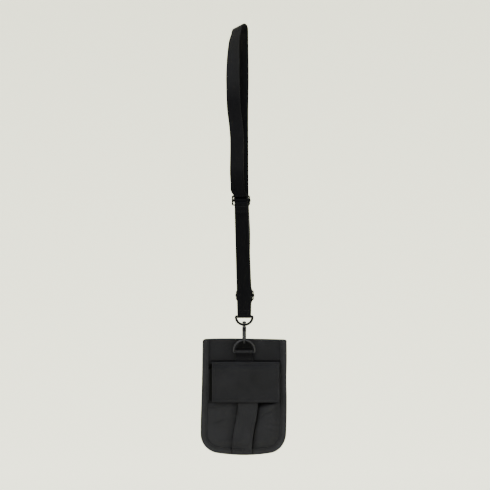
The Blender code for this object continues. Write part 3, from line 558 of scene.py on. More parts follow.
def through_slider(y, z):
    """Down before a slider's top wire, behind its bar and out before its foot wire."""
    return np.concatenate([arc((y, z + REACH), (OVER_WIRE, OVER_WIRE), 180, 270, 8),
                           arc((y, z), WAVE, 90, -90, 24)[1:-1],
                           arc((y, z - REACH), (OVER_WIRE, OVER_WIRE), 90, 180, 8)])


def hem_round_bar(y, z, side):
    """Over a slider's wire, round its bar and back on itself, upside down where side is -1."""
    inner = OVER_WIRE + LAYER
    outer = inner + LAYER
    turn = 180 - math.degrees(math.acos(HEM_ROUND[0] / outer))
    line = np.concatenate([arc((0, -REACH), (inner, inner), 180, 90, 10),
                           arc((0, 0), HEM_ROUND, -90, 180, 30)[1:],
                           arc((0, -REACH), (outer, outer), turn, 180, 8),
                           run((-outer, -REACH), (-outer, -HEM_LENGTH), 6)[1:]])
    return line * (1, side) + (y, z)


def neck_strand(sway, top, foot, steps=64):
    """A free strand from the fold's end down to a foot, through its knots."""
    knots = [(0, top[0], FOLD_TURN), *sway, (1, foot[0], 0)]
    share = np.linspace(0, 1, steps + 1)[1:]
    return stations(knotted([(s, x) for s, x, turn in knots], share),
                    ease((share - DEPTH_FROM) / (1 - DEPTH_FROM), top[1], foot[1]),
                    top[2] + share * (foot[2] - top[2]),
                    knotted([(s, turn) for s, x, turn in knots], share),
                    FOLD_TILT * np.maximum(0, 1 - share / TILT_SPAN))


print("route helpers ready")

# %% [markdown]
# ## Stations
# The neck fold joins two free strands. Below them come the stretches through the sliders, the tail, the
# bail's loop and the leg that goes up in front.

# %% Strap stations
over = arc((0, FOLD[2]), (FOLD_BEND, FOLD_BEND), 180, 0, 28)
lean = math.radians(FOLD_TURN)
fold = stations(FOLD[0] - over[:, 0] * math.sin(lean), FOLD[1] + over[:, 0] * math.cos(lean), over[:, 1],
                FOLD_TURN, FOLD_TILT)
front_neck = neck_strand(FRONT_SWAY, fold[0], FRONT_SPLIT)
back_neck = neck_strand(BACK_SWAY, fold[-1], (strap_x(BACK_SPLIT_Z), BACK_TOP_Y, BACK_SPLIT_Z))
share = np.linspace(0, 1, 13)[1:]
entry = stations(ease(share ** 3, FRONT_SPLIT[0], strap_x(FRONT[2] + REACH)), TAIL_TOP_Y,
                 FRONT_SPLIT[2] + share * (FRONT[2] + REACH - FRONT_SPLIT[2]))
back_entry = level(run((BACK_TOP_Y, BACK_SPLIT_Z), (BACK_FOOT_Y, REAR[2] + REACH)))[1:]
upper = np.concatenate([entry[::-1], front_neck[::-1], fold, back_neck, back_entry])
front_wave = level(through_slider(FRONT[1], FRONT[2]))
rear_hem = level(hem_round_bar(REAR[1], REAR[2], -1))
tail_run = level(run((TAIL_TOP_Y, FRONT[2] - REACH), (TAIL_FOOT_Y, REAR[2] + REACH), 40))
rear_wave = level(through_slider(REAR[1], REAR[2]))
foot_run = level(run((BACK_FOOT_Y, REAR[2] - REACH), (BAR_LOOP, BAR_Z)))
bar_loop = level(arc((0, BAR_Z), (BAR_LOOP, BAR_LOOP), 0, -180, 28))
front_hem = level(hem_round_bar(FRONT[1], FRONT[2], 1))
leg_line = run((-BAR_LOOP, BAR_Z), (-BAR_LOOP, FRONT[2] - REACH), 56)
leg_x = np.interp(leg_line[:, 1], (BAR_Z, FRONT[2] - REACH), (0, strap_x(FRONT[2] - REACH)))
leg = stations(leg_x, leg_line[:, 0], leg_line[:, 1])
print("strap stations", len(upper), "over the neck,", len(tail_run), "in the tail,", len(leg), "in the leg")

# %% [markdown]
# ## A band of webbing
# One function sweeps a flat section with round selvages along stations. It counts the length on from the
# stretch before, so that the weave runs through, and returns the length that it has reached.

# %% Band of webbing
SELVAGE, SELVAGE_RUB = 0.0015, 0.12


def band(name, track, start=0.0, width=WEB_WIDTH, thickness=WEB_THICK, rub_and_shading=0.0):
    """A closed band of webbing with round selvages, its UV map along and across in metres."""
    centre, across = track[:, :3], track[:, 3:]
    normal = unit(np.cross(across, np.gradient(centre, axis=0)))
    half, edge = width / 2, thickness / 2
    face = np.linspace(edge - half, half - edge, 11)
    round_edge = arc((0, 0), (edge, edge), 90, -90, 6)[1:-1]
    section = [(a, edge) for a in face] + [(half - edge + a, b) for a, b in round_edge]
    section += [(-a, -edge) for a in face] + [(edge - half - a, -b) for a, b in round_edge]
    section = np.array(section)
    aside, lift = section[None, :, :1], section[None, :, 1:]
    rings = centre[:, None] + aside * across[:, None] + lift * normal[:, None]
    length = start + run_length(centre)
    sides, count = len(section), len(centre)
    faces = [tuple(range(sides)), tuple(range((count - 1) * sides, count * sides))]
    faces += between_rings(count, sides)
    uv = np.stack(np.broadcast_arrays(length[:, None], section[None, :, 0]), axis=2).reshape(-1, 2)
    on_edge = np.clip((np.abs(section[:, 0]) - half + SELVAGE) / SELVAGE, 0, 1) * SELVAGE_RUB
    wear_and_shading = (np.broadcast_to(on_edge, (count, sides)) + np.reshape(rub_and_shading, (-1, 1))).clip(-1, 1).ravel()
    piece = finish_piece(name, rings.reshape(-1, 3), faces, WEBBING, uv, wear_and_shading)
    piece.data.set_sharp_from_angle(angle=math.radians(60))
    return piece, length[-1]


print("webbing", WEB_WIDTH, "m wide")

# %% [markdown]
# ## The strap's pieces
# The strap is cut along its route where it changes what it moves with. Stretches in the sliders ride
# on them and stretches that stay still ride on the strap. Each stretch between lists both bodies, and
# here it is only fixed in place. Every piece is a flat woven band.

# %% Strap pieces
STILL_FRONT, STILL_BACK, STILL_LEG = -0.10, -0.20, -0.36
# Tone painted by height on the side that shows, as light and shade: darker up from the bail, deepest
# black about the sliders, paler above them and palest at the neck, where the strap faces the light
STRAP_SHADING = ((-0.405, -0.05), (-0.390, -0.40), (-0.330, -0.65), (-0.220, -0.65), (-0.200, 0.12), (-0.105, 0.06),
        (-0.080, 0.36), (-0.010, 0.42))
# The painted tone ends within so many stations past the top of the neck fold
SHADING_END = 10

front_turn = int(np.argmax(upper[:, 2] > STILL_FRONT))
back_turn = len(upper) - int(np.argmax(upper[::-1, 2] > STILL_BACK))
fold_top = len(entry) + len(front_neck) + len(fold) // 2
before_fold = ease((np.arange(front_turn, back_turn + 1) - fold_top) / SHADING_END, 1, 0)
half_way = len(tail_run) // 2
leg_cut = int(np.argmax(leg[:, 2] > STILL_LEG))
bail_wrap = np.concatenate([bar_loop, leg[1:leg_cut + 1]])

# Each stretch: its track, the bodies it moves with, the stretch it goes on from, what it rests on, and how
# much of it is seen from the front, which scales its painted light and shade
STRETCHES = {
    "front_strand": (upper[:front_turn + 1][::-1], ("strap", "front_slider"), None, "front_slider_frame", 1),
    "neck_fold": (upper[front_turn:back_turn + 1], ("strap",), None, None, before_fold),
    "back_strand": (upper[back_turn:], ("strap", "rear_slider"), "neck_fold", "rear_slider_frame", 0),
    "in_front_slider": (front_wave, ("front_slider",), "front_strand", "front_slider_frame", 1),
    "tail_top": (tail_run[:half_way + 1], ("front_slider", "strap"), "in_front_slider",
                 "front_slider_frame", 0),
    "tail_foot": (tail_run[half_way:], ("strap", "rear_slider"), "tail_top", "rear_slider_frame", 0),
    "tail_hem": (rear_hem, ("rear_slider",), "tail_foot", "rear_slider_bar", 0),
    "in_rear_slider": (rear_wave, ("rear_slider",), "back_strand", "rear_slider_frame", 0),
    "foot_strand": (foot_run, ("rear_slider", "strap"), "in_rear_slider", "swivel_bail", 0),
    "bail_loop": (bail_wrap, ("strap",), "foot_strand", "swivel_bail", 1),
    "front_leg": (leg[leg_cut:], ("strap", "front_slider"), "bail_loop", "front_slider_frame", 1),
    "head_hem": (front_hem, ("front_slider",), "front_leg", "front_slider_bar", 1)}

strap, reach = {}, {None: 0.0}
for name, (track, bodies, before, rest, seen) in STRETCHES.items():
    # Painted light and shade by height, on what is seen from the front
    tone_shift = seen * np.interp(track[:, 2], *zip(*STRAP_SHADING))
    piece, reach[name] = band("strap_" + name, track, reach[before], rub_and_shading=tone_shift)
    if len(bodies) == 1:
        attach(piece, bodies[0])
    else:
        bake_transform(piece)
    strap[name] = piece
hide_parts("neck_webbing")
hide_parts("tail_webbing")
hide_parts("lower_webbing")
print("webbing", round(reach["tail_hem"] + reach["head_hem"], 3), "m in all")

# %% [markdown]
# ## Working metal
# Wire pieces are swept tubes with many sides. Cast pieces are made as a caster's pattern is: simple
# forms are laid into each other, one skin is drawn over them by a voxel remesh, the skin is smoothed,
# and the bores and slots are then cut with crisp edges.


# %% Metal helpers
def block(low, high, edge, segments=4):
    """Vertices and faces of a box with rounded edges."""
    bm = bmesh.new()
    bmesh.ops.create_cube(bm, size=1)
    low, high = Vector(low), Vector(high)
    bmesh.ops.scale(bm, vec=high - low, verts=bm.verts)
    bmesh.ops.translate(bm, vec=(low + high) / 2, verts=bm.verts)
    if edge:
        bmesh.ops.bevel(bm, geom=bm.edges[:], offset=edge, segments=segments, profile=0.5, affect="EDGES")
    bm.verts.index_update()
    made = [tuple(v.co) for v in bm.verts], [tuple(v.index for v in f.verts) for f in bm.faces]
    bm.free()
    return made


def barrel(centre, radius, length, axis=2, sides=48):
    """Vertices and faces of a round bar along X (0) or Z (2)."""
    step = np.zeros(3)
    step[axis] = length / 2
    plane = (1, 0, 0) if axis == 2 else (0, 0, 1)
    return tube([np.array(centre) - step, np.array(centre) + step], radius, sides, plane=plane)


def loose(name, parts):
    """One object that holds several overlapping closed shells."""
    verts, faces = [], []
    for part_verts, part_faces in parts:
        faces += [tuple(n + len(verts) for n in face) for face in part_faces]
        verts += part_verts
    return finish_piece(name, verts, faces, NICKEL)


def cast(name, parts, cuts, voxel, material, passes=6):
    """Fuse overlapping forms under one smoothed skin, then cut the bores and slots."""
    rough = loose(name + "_rough", parts)
    skin = rough.modifiers.new("skin", "REMESH")
    skin.mode = "VOXEL"
    skin.voxel_size = voxel
    relax = rough.modifiers.new("relax", "SMOOTH")
    relax.factor = 0.5
    relax.iterations = passes
    cutters = [loose(f"{name}_cut_{n}", [cut]) for n, cut in enumerate(cuts)]
    for cutter in cutters:
        step = rough.modifiers.new("cut", "BOOLEAN")
        step.operation = "DIFFERENCE"
        step.solver = "EXACT"
        step.object = cutter
    graph = bpy.context.evaluated_depsgraph_get()
    mesh = bpy.data.meshes.new_from_object(rough.evaluated_get(graph))
    for used in [rough, *cutters]:
        bpy.data.objects.remove(used, do_unlink=True)
    mesh.name = name
    mesh.shade_smooth()
    mesh.set_sharp_from_angle(angle=math.radians(50))
    mesh.materials.clear()
    mesh.materials.append(material)
    return placed(name, mesh)


def tie(piece, body, slot, *nodes):
    """Let a piece ride on its body, for the CAD nodes that it stands for, which are hidden. Its slot is not
    used.
    """
    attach(piece, body)
    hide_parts(*nodes)
    print(piece.name, len(piece.data.polygons), "faces")


print("metal helpers ready")

# %% [markdown]
# ## Sliders
# A slider is a ring of wire with a rolled crossbar, whose end sleeves sit on the wire's two sides. The
# front slider's left side is a little heavier.

# %% Sliders
SLIDER_WIRE = 0.0009
SLIDER_CORNER = 0.0017
SLEEVE = 0.0017
SLEEVE_PLAY = 0.0002
SLIDER_HALF = WEB_WIDTH / 2 + GAP + SLEEVE
BAR_HALF = (0.0008, 0.0018)
BAR_EDGE = 0.0007
THROUGH = 0.01
HEAVY = 0.0004
HEAVY_FROM, HEAVY_SOFT = (0.0104, 0.0020), (0.0008, 0.0010)


def slider(body, centre, heavy=0.0):
    """A wire frame and its crossbar, whose end sleeves turn on the frame's sides."""
    outline = []
    for x_side, z_side, start in ((1, -1, -90), (1, 1, 0), (-1, 1, 90), (-1, -1, 180)):
        middle = (x_side * (SLIDER_HALF - SLIDER_CORNER), z_side * (REACH - SLIDER_CORNER))
        outline += arc(middle, (SLIDER_CORNER, SLIDER_CORNER), start, start + 90, 10).tolist()
    outline = np.array(outline + outline[:1])
    along = run_length(outline)
    at = np.linspace(0, along[-1], 160, endpoint=False)
    x, z = np.interp(at, along, outline[:, 0]), np.interp(at, along, outline[:, 1])
    # The left side may be heavier, outside the webbing and clear of the bar's sleeve
    swell = heavy * ease((-x - HEAVY_FROM[0]) / HEAVY_SOFT[0])
    swell = swell * ease((np.abs(z) - HEAVY_FROM[1]) / HEAVY_SOFT[1])
    points = np.stack([x - swell, 0 * x, z], axis=1) + centre
    wire = finish_piece(body + "_wire", *tube(points, SLIDER_WIRE + swell, 20, True), WIRE)
    tie(wire, body, "wire", body + "_frame")
    half = np.array((SLIDER_HALF, *BAR_HALF))
    ends = [(centre[0] + side * SLIDER_HALF, centre[1], centre[2]) for side in (-1, 1)]
    parts = [block(centre - half, centre + half, BAR_EDGE)]
    parts += [barrel(end, SLEEVE, 2 * BAR_HALF[1]) for end in ends]
    cuts = [barrel(end, SLIDER_WIRE + SLEEVE_PLAY, THROUGH) for end in ends]
    bar = cast(body + "_crossbar", parts, cuts, voxel=0.00018, material=WIRE, passes=3)
    tie(bar, body, "wire", body + "_bar")


slider("front_slider", FRONT, HEAVY)
slider("rear_slider", REAR)

# %% [markdown]
# ## Bail and rivet
# The bail is a half-round loop with a barrel at its foot. Its bow is thicker than the bar inside the
# webbing. The rivet's round head sits in the loop, and its shank goes down through the barrel into the
# hook, which so turns freely.

# %% Bail and rivet
BAIL_WIRE, BOW_GAIN = 0.0011, 1.6
BOW_FROM, BOW_SPAN = 0.0005, 0.0012
BAIL_CORNER = 0.0015
BAIL_HALF = WEB_WIDTH / 2 + GAP + BAIL_CORNER
EYE_Z = -0.415
EYE_RADIUS, EYE_HEIGHT = 0.0030, 0.0034
RIVET, RIVET_PLAY = 0.0013, 0.00008
RIVET_HEAD, HEAD_RIM = (0.0028, 0.0019), 0.0022
# Heights from the eye's middle: the head's top, widest place, rim and seat, then the shank's foot
RIVET_Z = (0.0051, 0.0032, 0.0028, 0.0020, -0.0048)


def d_loop(half, height, corner):
    """A D's centre line: its bar along height 0 with round corners, and its bow."""
    return np.concatenate([arc((half - corner, corner), (corner, corner), -90, 0, 10),
                           arc((0, corner), (half, height - corner), 0, 180, 60)[1:-1],
                           arc((corner - half, corner), (corner, corner), 180, 270, 10)])


bow = d_loop(BAIL_HALF, BAR_Z - EYE_Z, BAIL_CORNER)
bow = np.array([(x, 0, BAR_Z - drop) for x, drop in bow])
beside = np.maximum(np.abs(bow[:, 0]) - WEB_WIDTH / 2 - GAP, BAR_Z - bow[:, 2] - BOW_FROM)
thick = ease(beside / BOW_SPAN, BAIL_WIRE, BAIL_WIRE * BOW_GAIN)
eye = (0, 0, EYE_Z)
bail = cast("bail", [tube(bow, thick, 24, True), barrel(eye, EYE_RADIUS, EYE_HEIGHT)],
            [barrel(eye, RIVET + RIVET_PLAY, THROUGH)], voxel=0.00022, material=LACQUER)
tie(bail, "bail", "nickel", "swivel_bail")
top, widest, rim_z, seat, foot = RIVET_Z
head = [(1e-5, top), *arc((0, widest), RIVET_HEAD, 88, 0, 10), (RIVET_HEAD[0], rim_z), (HEAD_RIM, seat),
        (RIVET, seat), (RIVET, foot), (1e-5, foot)]
rivet = finish_piece("rivet", *turned(head, eye, 40), NICKEL)
rivet.data.set_sharp_from_angle(angle=math.radians(40))
tie(rivet, "hook", "nickel", "swivel_rivet")

# %% [markdown]
# ## Snap hook
# The hook is one casting: a slotted head, a round rod that tapers as it bends, and a tip that stops
# the gate.

# %% Hook
HEAD_LOW, HEAD_HIGH = (-0.0029, -0.0059, -0.4236), (0.0029, 0.0045, -0.4170)
HEAD_EDGE = 0.0012
RIVET_BORE = 0.0062
PIVOT = (0.0, -0.0039, -0.4212)
PIN_BORE = 0.00068
ROD, TIP = 0.0017, 0.0014
ROD_BROAD, BROAD_FROM, BROAD_SPAN = 1.7, -0.0040, 0.0045
ROD_Y = 0.0060
SHOULDER = 0.0040
BEND_Z = -0.4334
TIP_RISE = 0.0022
# The slot's half width, its open front and foot, the back of its upper part and its roof, and its back below
SLOT_HALF = 0.0015
SLOT_FRONT, SLOT_FOOT = -0.0093, -0.4264
SLOT_NECK, SLOT_ROOF = -0.0019, -0.4192
SLOT_BACK = -0.00061

spine = np.concatenate([[(0, PIVOT[2])],
                        arc((ROD_Y - SHOULDER, PIVOT[2] - SHOULDER), (SHOULDER, SHOULDER), 90, 0, 12),
                        arc((0, BEND_Z), (ROD_Y, ROD_Y), 0, -180, 40), [(-ROD_Y, BEND_Z + TIP_RISE)]])
taper = ROD * np.linspace(1, TIP / ROD, len(spine))
# The rod is broadest at its shoulder and round where the ring hangs in the bend
broad = ease((spine[:, 1] - BEND_Z - BROAD_FROM) / BROAD_SPAN, 1.0, ROD_BROAD)
shank = tube([(0, y, z) for y, z in spine], taper, 28, plane=(1, 0, 0), wide=broad)
hook = cast("hook", [block(HEAD_LOW, HEAD_HIGH, HEAD_EDGE, 5), shank],
            [block((-SLOT_HALF, SLOT_FRONT, SLOT_FOOT), (SLOT_HALF, SLOT_NECK, SLOT_ROOF), 0),
             block((-SLOT_HALF, SLOT_FRONT, SLOT_FOOT), (SLOT_HALF, SLOT_BACK, PIVOT[2]), 0),
             barrel((0, 0, HEAD_HIGH[2]), RIVET + RIVET_PLAY, RIVET_BORE),
             barrel(PIVOT, PIN_BORE, THROUGH, 0)], voxel=0.0002, material=NICKEL)
tie(hook, "hook", "nickel", "hook_body")

# %% [markdown]
# ## Gate
# The gate is a flat pressed leaf on a cross pin, with room beside its eye for the spring. The pin and
# the spring keep their CAD shapes and have the same plate.

# %% Gate
LEAF_HALF, LEAF_EYE = 0.0012, 0.0017
LEAF_OUTER, LEAF_FOOT = -0.0040, -0.4332
LEAF_TIP = 0.0009
LEAF_TURN = 273.4
SPRING_ROOM, SPRING_X, SPRING_LENGTH = 0.0020, 0.0020, 0.0048

tip = (LEAF_OUTER + LEAF_TIP, LEAF_FOOT + LEAF_TIP)
leaf = np.concatenate([arc(PIVOT[1:], (LEAF_EYE, LEAF_EYE), 0, LEAF_TURN, 30),
                       arc(tip, (LEAF_TIP, LEAF_TIP), 180, 360, 14)])
plate = [(x, y, z) for x in (-LEAF_HALF, LEAF_HALF) for y, z in leaf]
size = len(leaf)
skin = between_rings(2, size) + [tuple(range(size)), tuple(range(size, 2 * size))]
gate = cast("gate", [(plate, skin)],
            [barrel((SPRING_X, *PIVOT[1:]), SPRING_ROOM, SPRING_LENGTH, 0),
             barrel(PIVOT, PIN_BORE, THROUGH, 0)], voxel=0.00013, material=NICKEL, passes=3)
tie(gate, "gate", "nickel", "hook_gate")
for node in ("gate_pin", "gate_spring"):
    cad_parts[node].data.materials[0] = NICKEL

# %% [markdown]
# ## D ring
# A bent and welded wire ring. Its bar lies in the tab's loop and its bow leans forward on the hook.

# %% D ring
RING_LEAN = math.radians(20)
RING_WIRE = 0.0014
RING_CORNER = 0.0019
RING_RISE = 0.018
RING_TOP = -0.436
TAB_WIDTH, TAB_LENGTH, TAB_THICK = 0.025, 0.022, 0.0013
RING_HALF = TAB_WIDTH / 2 + GAP + RING_CORNER
# The bar's depth and height, from which those of the pouch are counted
RING_BAR = (RING_RISE * math.sin(RING_LEAN), RING_TOP - RING_RISE * math.cos(RING_LEAN))

bow = [(x, RING_BAR[0] - rise * math.sin(RING_LEAN), RING_BAR[1] + rise * math.cos(RING_LEAN))
       for x, rise in d_loop(RING_HALF, RING_RISE, RING_CORNER)]
ring_plane = (0, math.cos(RING_LEAN), math.sin(RING_LEAN))
ring = finish_piece("ring", *tube(bow, RING_WIRE, 28, True, ring_plane), NICKEL)
tie(ring, "ring", "nickel", "d_ring")

# %% [markdown]
# ## The pouch's outline
# All the pouch's layers share one outline: straight sides that widen a little, round lower corners and
# a foot with a slight bow. Cloth is never as true as its pattern, so its sides then wander by about a
# millimetre or two and the mouth's corners sink.

# %% Pouch outline
MOUTH_RISE, POUCH_HEIGHT = 0.0164, 0.1576
POUCH_TOP = RING_BAR[1] + MOUTH_RISE
POUCH_FOOT = POUCH_TOP - POUCH_HEIGHT
POUCH_HALF, TOP_HALF = 0.0584, 0.0575
CORNER = 0.026
BOW = math.radians(9)
BINDING_WIDTH = 0.0085
# How far the worn cloth lies outside the drawn line: at each side by height, at the mouth by sideways place
LEFT_SET = ((-0.600, 0.0014), (-0.574, 0.0019), (-0.553, 0.0020), (-0.500, 0.0008), (-0.436, 0.0001))
RIGHT_SET = ((-0.600, -0.0006), (-0.574, -0.0007), (-0.553, 0.0002), (-0.519, 0.0009), (-0.491, 0.0006),
             (-0.464, 0.0013), (-0.436, 0.0013))
TOP_SET = ((-0.061, 0.0011), (-0.040, 0.0017), (-0.022, 0.0019), (0.000, 0.0017), (0.029, 0.0011),
           (0.061, 0.0004))
MOUTH_SPAN = 0.014
FOOT_SET, FOOT_SPAN = 0.0012, 0.04
SOFT_CORNER = 0.005
CORNER_SINK = (0.0024, 0.0012)
SIDE_FROM = 0.4


def foot_shape(inset):
    """The foot's half width, corner radius, corner centre's place, bow radius, and both centres' heights."""
    half, corner = POUCH_HALF - inset, CORNER - inset
    span = half - corner
    bow = span / math.sin(BOW) + corner
    bow_z = POUCH_FOOT + inset + bow
    corner_z = bow_z - (bow - corner) * math.cos(BOW)
    return half, corner, span, bow, bow_z, corner_z


def foot_z(x, inset):
    """Height of the outline's lower edge at a sideways place."""
    half, corner, span, bow, bow_z, corner_z = foot_shape(inset)
    x = np.minimum(np.abs(x), half)
    on_bow = bow_z - np.sqrt(np.maximum(bow ** 2 - x ** 2, 0))
    on_corner = corner_z - np.sqrt(np.maximum(corner ** 2 - np.maximum(x - span, 0) ** 2, 0))
    return np.where(x < span + corner * math.sin(BOW), on_bow, on_corner)


def widen(x, z, inset):
    """Sides run straight from the round corner to the narrower mouth."""
    corner_z = foot_shape(inset)[-1]
    share = np.clip((z - corner_z) / (POUCH_TOP - corner_z), 0, 1)
    return x * (1 + ((TOP_HALF - inset) / (POUCH_HALF - inset) - 1) * share)


def settle(x, z):
    """Move drawn points to where the worn cloth has come to lie."""
    x, z = np.asarray(x, float), np.asarray(z, float)
    share = ease((np.abs(x) / POUCH_HALF - SIDE_FROM) / (1 - SIDE_FROM))
    out = np.where(x < 0, -knotted(LEFT_SET, z), knotted(RIGHT_SET, z))
    near_top = np.clip((z - POUCH_TOP + MOUTH_SPAN) / MOUTH_SPAN, 0, 1)
    sunk = np.clip((np.abs(x) - TOP_HALF + SOFT_CORNER) / SOFT_CORNER, 0, 1) ** 2
    rise = near_top * (knotted(TOP_SET, x) - sunk * np.where(x < 0, *CORNER_SINK))
    return x + share * out, z + rise - FOOT_SET * ease((POUCH_FOOT + FOOT_SPAN - z) / FOOT_SPAN)


def settled(x, y, z):
    """A grid of points that has settled in x and z."""
    x_set, z_set = settle(x, z)
    return np.stack([x_set, y, z_set], axis=2)


print("pouch", POUCH_HEIGHT, "m tall")

# %% [markdown]
# ## Edge and folds
# The sewn edge is one line of points. Depth and tone of the cloth are built from three forms: the distance
# from that edge, soft random hills, and soft bumps about a place.


# %% Edge and folds
def edge_line(inset, steps=14):
    """The outline as (x, z) points from the top left corner down and round to the top right."""
    half, corner, span, bow, bow_z, corner_z = foot_shape(inset)
    turn = math.degrees(BOW)
    side = np.linspace(0, 1, 40)[:-1, None]
    left = np.array([(inset - TOP_HALF, POUCH_TOP)]) * (1 - side) + np.array([(-half, corner_z)]) * side
    line = np.concatenate([left, arc((-span, corner_z), (corner, corner), 180, 270 - turn, steps),
                           arc((0, bow_z), (bow, bow), 270 - turn, 270, 2 * steps)[1:]])
    return np.concatenate([line, (line * (-1, 1))[::-1][1:]])


SEAM = edge_line(0.0)


def from_edge(x, z):
    """Distance of points from the sewn edge, down one side, round the foot and up the other."""
    best = np.full(np.shape(x), 1.0)
    for (x0, z0), (x1, z1) in zip(SEAM, SEAM[1:]):
        dx, dz = x1 - x0, z1 - z0
        t = np.clip(((x - x0) * dx + (z - z0) * dz) / (dx * dx + dz * dz), 0, 1)
        best = np.minimum(best, np.hypot(x - x0 - t * dx, z - z0 - t * dz))
    return best


def crumple(x, z, *hills):
    """Soft random hills, up and down, each kind given as its height, size across and seed."""
    total = 0
    for height, size, seed in hills:
        flat = [noise.noise((a / size, b / size, seed)) for a, b in zip(np.ravel(x), np.ravel(z))]
        total = total + height * np.reshape(flat, np.shape(x))
    return total


def near(value, at, width):
    """A soft bump of height 1 about a place."""
    return np.exp(-((value - at) / width) ** 2)


print("outline", len(SEAM), "points, foot at", round(float(foot_z(0, 0)), 4))

# %% [markdown]
# ## Cloth grids
# Each cloth is a grid of columns that start on the round foot. Rows lie closer together where a fold or
# seam needs them. The cloth swells out from the binding, and stays open as a slot beside the flap, which
# is painted dark as shade.

# %% Panel sizes and grid
PANEL_INSET = 0.0011
PANEL_THICK = 0.0008
# The layers lie one behind the other at the thickness that they have in the CAD model
CAD_PANEL, CAD_POCKET = 0.0010, 0.0007
TAB_LOOP = RING_WIRE + GAP + TAB_THICK / 2
PANEL_FACE = RING_BAR[0] + TAB_LOOP + TAB_THICK / 2 + GAP
FRONT_Y = PANEL_FACE + CAD_PANEL / 2
BACK_Y = FRONT_Y + CAD_PANEL + GAP
BACK_SWELL = 0.0047
RIM = BINDING_WIDTH + GAP
SLOPE = 0.0070
HEM, HEM_DIP = 0.008, 0.0003
HEM_Z = POUCH_TOP - 0.0021
LEVEL_Z = -0.555
ROW, FINE_ROW, LEAST_ROW = 0.0016, 0.0003, 0.00012
FLAP_X, FLAP_HALF = 0.0022, 0.0460
FLAP_DROP, FLAP_LENGTH = 0.0136, 0.0552
FLAP_TOP = RING_BAR[1] - FLAP_DROP
FLAP_FOOT = FLAP_TOP - FLAP_LENGTH
SEAM_Z, SEAM_DIP = FLAP_TOP + 0.0009, 0.0013
SLOT_LEFT, SLOT_RIGHT, SLOT_SOFT = -0.0481, -0.0425, 0.0006
SLOT_DROP, SLOT_RISE, SLOT_FADE = 0.0020, 0.0008, 0.0008
SLOT_COLUMNS = np.linspace(-0.0489, -0.0421, 12)


def heights(low, high, fine):
    """Grid heights at an even step, with closer rows about each fine line."""
    places = [np.arange(low, high - ROW / 2, ROW), [high]]
    places += [at + np.arange(-6, 7) * FINE_ROW for at in fine]
    places = np.unique(np.concatenate(places))
    places = places[(places >= low) & (places <= high)]
    return places[np.append(np.diff(places) > LEAST_ROW, True)]


def sheet_grid(side, top, fine):
    """Heights of a sheet whose columns start on the round foot and are level from LEVEL_Z up."""
    low = foot_z(side, PANEL_INSET)
    level_rows = heights(LEVEL_Z, top, fine)
    share = np.linspace(0, 1, 30)[:-1, None]
    return np.concatenate([low + (LEVEL_Z - low) * share,
                           np.broadcast_to(level_rows[:, None], (len(level_rows), len(side)))])


def swelled(inset, rim=RIM, slope=SLOPE):
    """How far the cloth has swelled out, from 0 at the binding to 1."""
    return ease((inset - rim) / slope)


def sewn(piece, body, slot, nodes):
    tie(piece, body, slot, *nodes)


def slot_shade(x, z):
    """Depth of the open slot along the flap's left edge, 0 to 1, which also sets its painted shade."""
    across = ease((x - SLOT_LEFT) / SLOT_SOFT) * ease((SLOT_RIGHT - x) / SLOT_SOFT)
    below_top = ease((FLAP_TOP - SLOT_DROP - z) / SLOT_FADE)
    return across * ease((z - FLAP_FOOT - SLOT_RISE) / SLOT_FADE) * below_top


print("flap", 2 * FLAP_HALF, "m wide")

# %% [markdown]
# ## Back and front panels
# Two cloth panels make the main compartment, open at the top. Each has a turned hem there, so its
# last 8 mm is thicker. The front panel dips into the seam where the flap's top is sewn in, and that
# dip, with painted shade along it, is the dark line above the flap. Inside the ring the front panel is
# painted dark as shade, and the whole panel is painted a little darker as shade.

# %% Panels
HEM_SOFT, HEM_SPREAD = 0.001, 0.0009
HEM_MORE = (0.0006, 0.0004)
MOUTH_RUB, MOUTH_SPREAD = 0.5, 0.0012
BACK_HILLS = ((0.0005, 0.030, 3.1), (0.0002, 0.011, 4.2))
FRONT_HILLS = (0.00022, 0.026, 7.3)
SEAM_SPREAD, SEAM_PAST, SEAM_FADE = 0.0008, 0.003, 0.002
# Painted shade inside the ring: its middle's height, its half sizes, its darkness and soft edge, then a
# little painted shade over the whole front panel
RING_SHADE_Z, RING_SHADE_HALF = -0.4512, (0.0125, 0.0140)
RING_SHADE_DARK, RING_SHADE_SOFT, FRONT_SHADE = 0.6, 0.3, 0.15

columns = np.sin(np.linspace(-1, 1, 96) * math.pi / 2) * (POUCH_HALF - PANEL_INSET)
columns = np.sort(np.append(columns, SLOT_COLUMNS))
z = sheet_grid(columns, POUCH_TOP, (HEM_Z, SEAM_Z))
x = widen(np.broadcast_to(columns, z.shape), z, PANEL_INSET)
full = swelled(from_edge(x, z))
hem = ease((z - POUCH_TOP + HEM) / HEM_SOFT)
hem_dip = HEM_DIP * near(z, HEM_Z, HEM_SPREAD)
uv = np.stack([x, z], axis=2)
rubbed_top = near(z, POUCH_TOP, MOUTH_SPREAD) * MOUTH_RUB

y = BACK_Y + BACK_SWELL * full - hem_dip
y += full * crumple(x, z, *BACK_HILLS)
back = cloth("pouch_back", settled(x, y, z), PANEL_THICK + HEM_MORE[0] * hem, uv, rubbed_top, NYLON)
sewn(back, "pouch", "nylon", ["back_panel"])

seam_ends = ease((FLAP_HALF + SEAM_PAST - np.abs(x - FLAP_X)) / SEAM_FADE)
seam_dip = SEAM_DIP * near(z, SEAM_Z, SEAM_SPREAD) * seam_ends
y = FRONT_Y + crumple(x, z, FRONT_HILLS) * full + hem_dip + seam_dip
shade = np.maximum(slot_shade(x, z), seam_dip / SEAM_DIP)
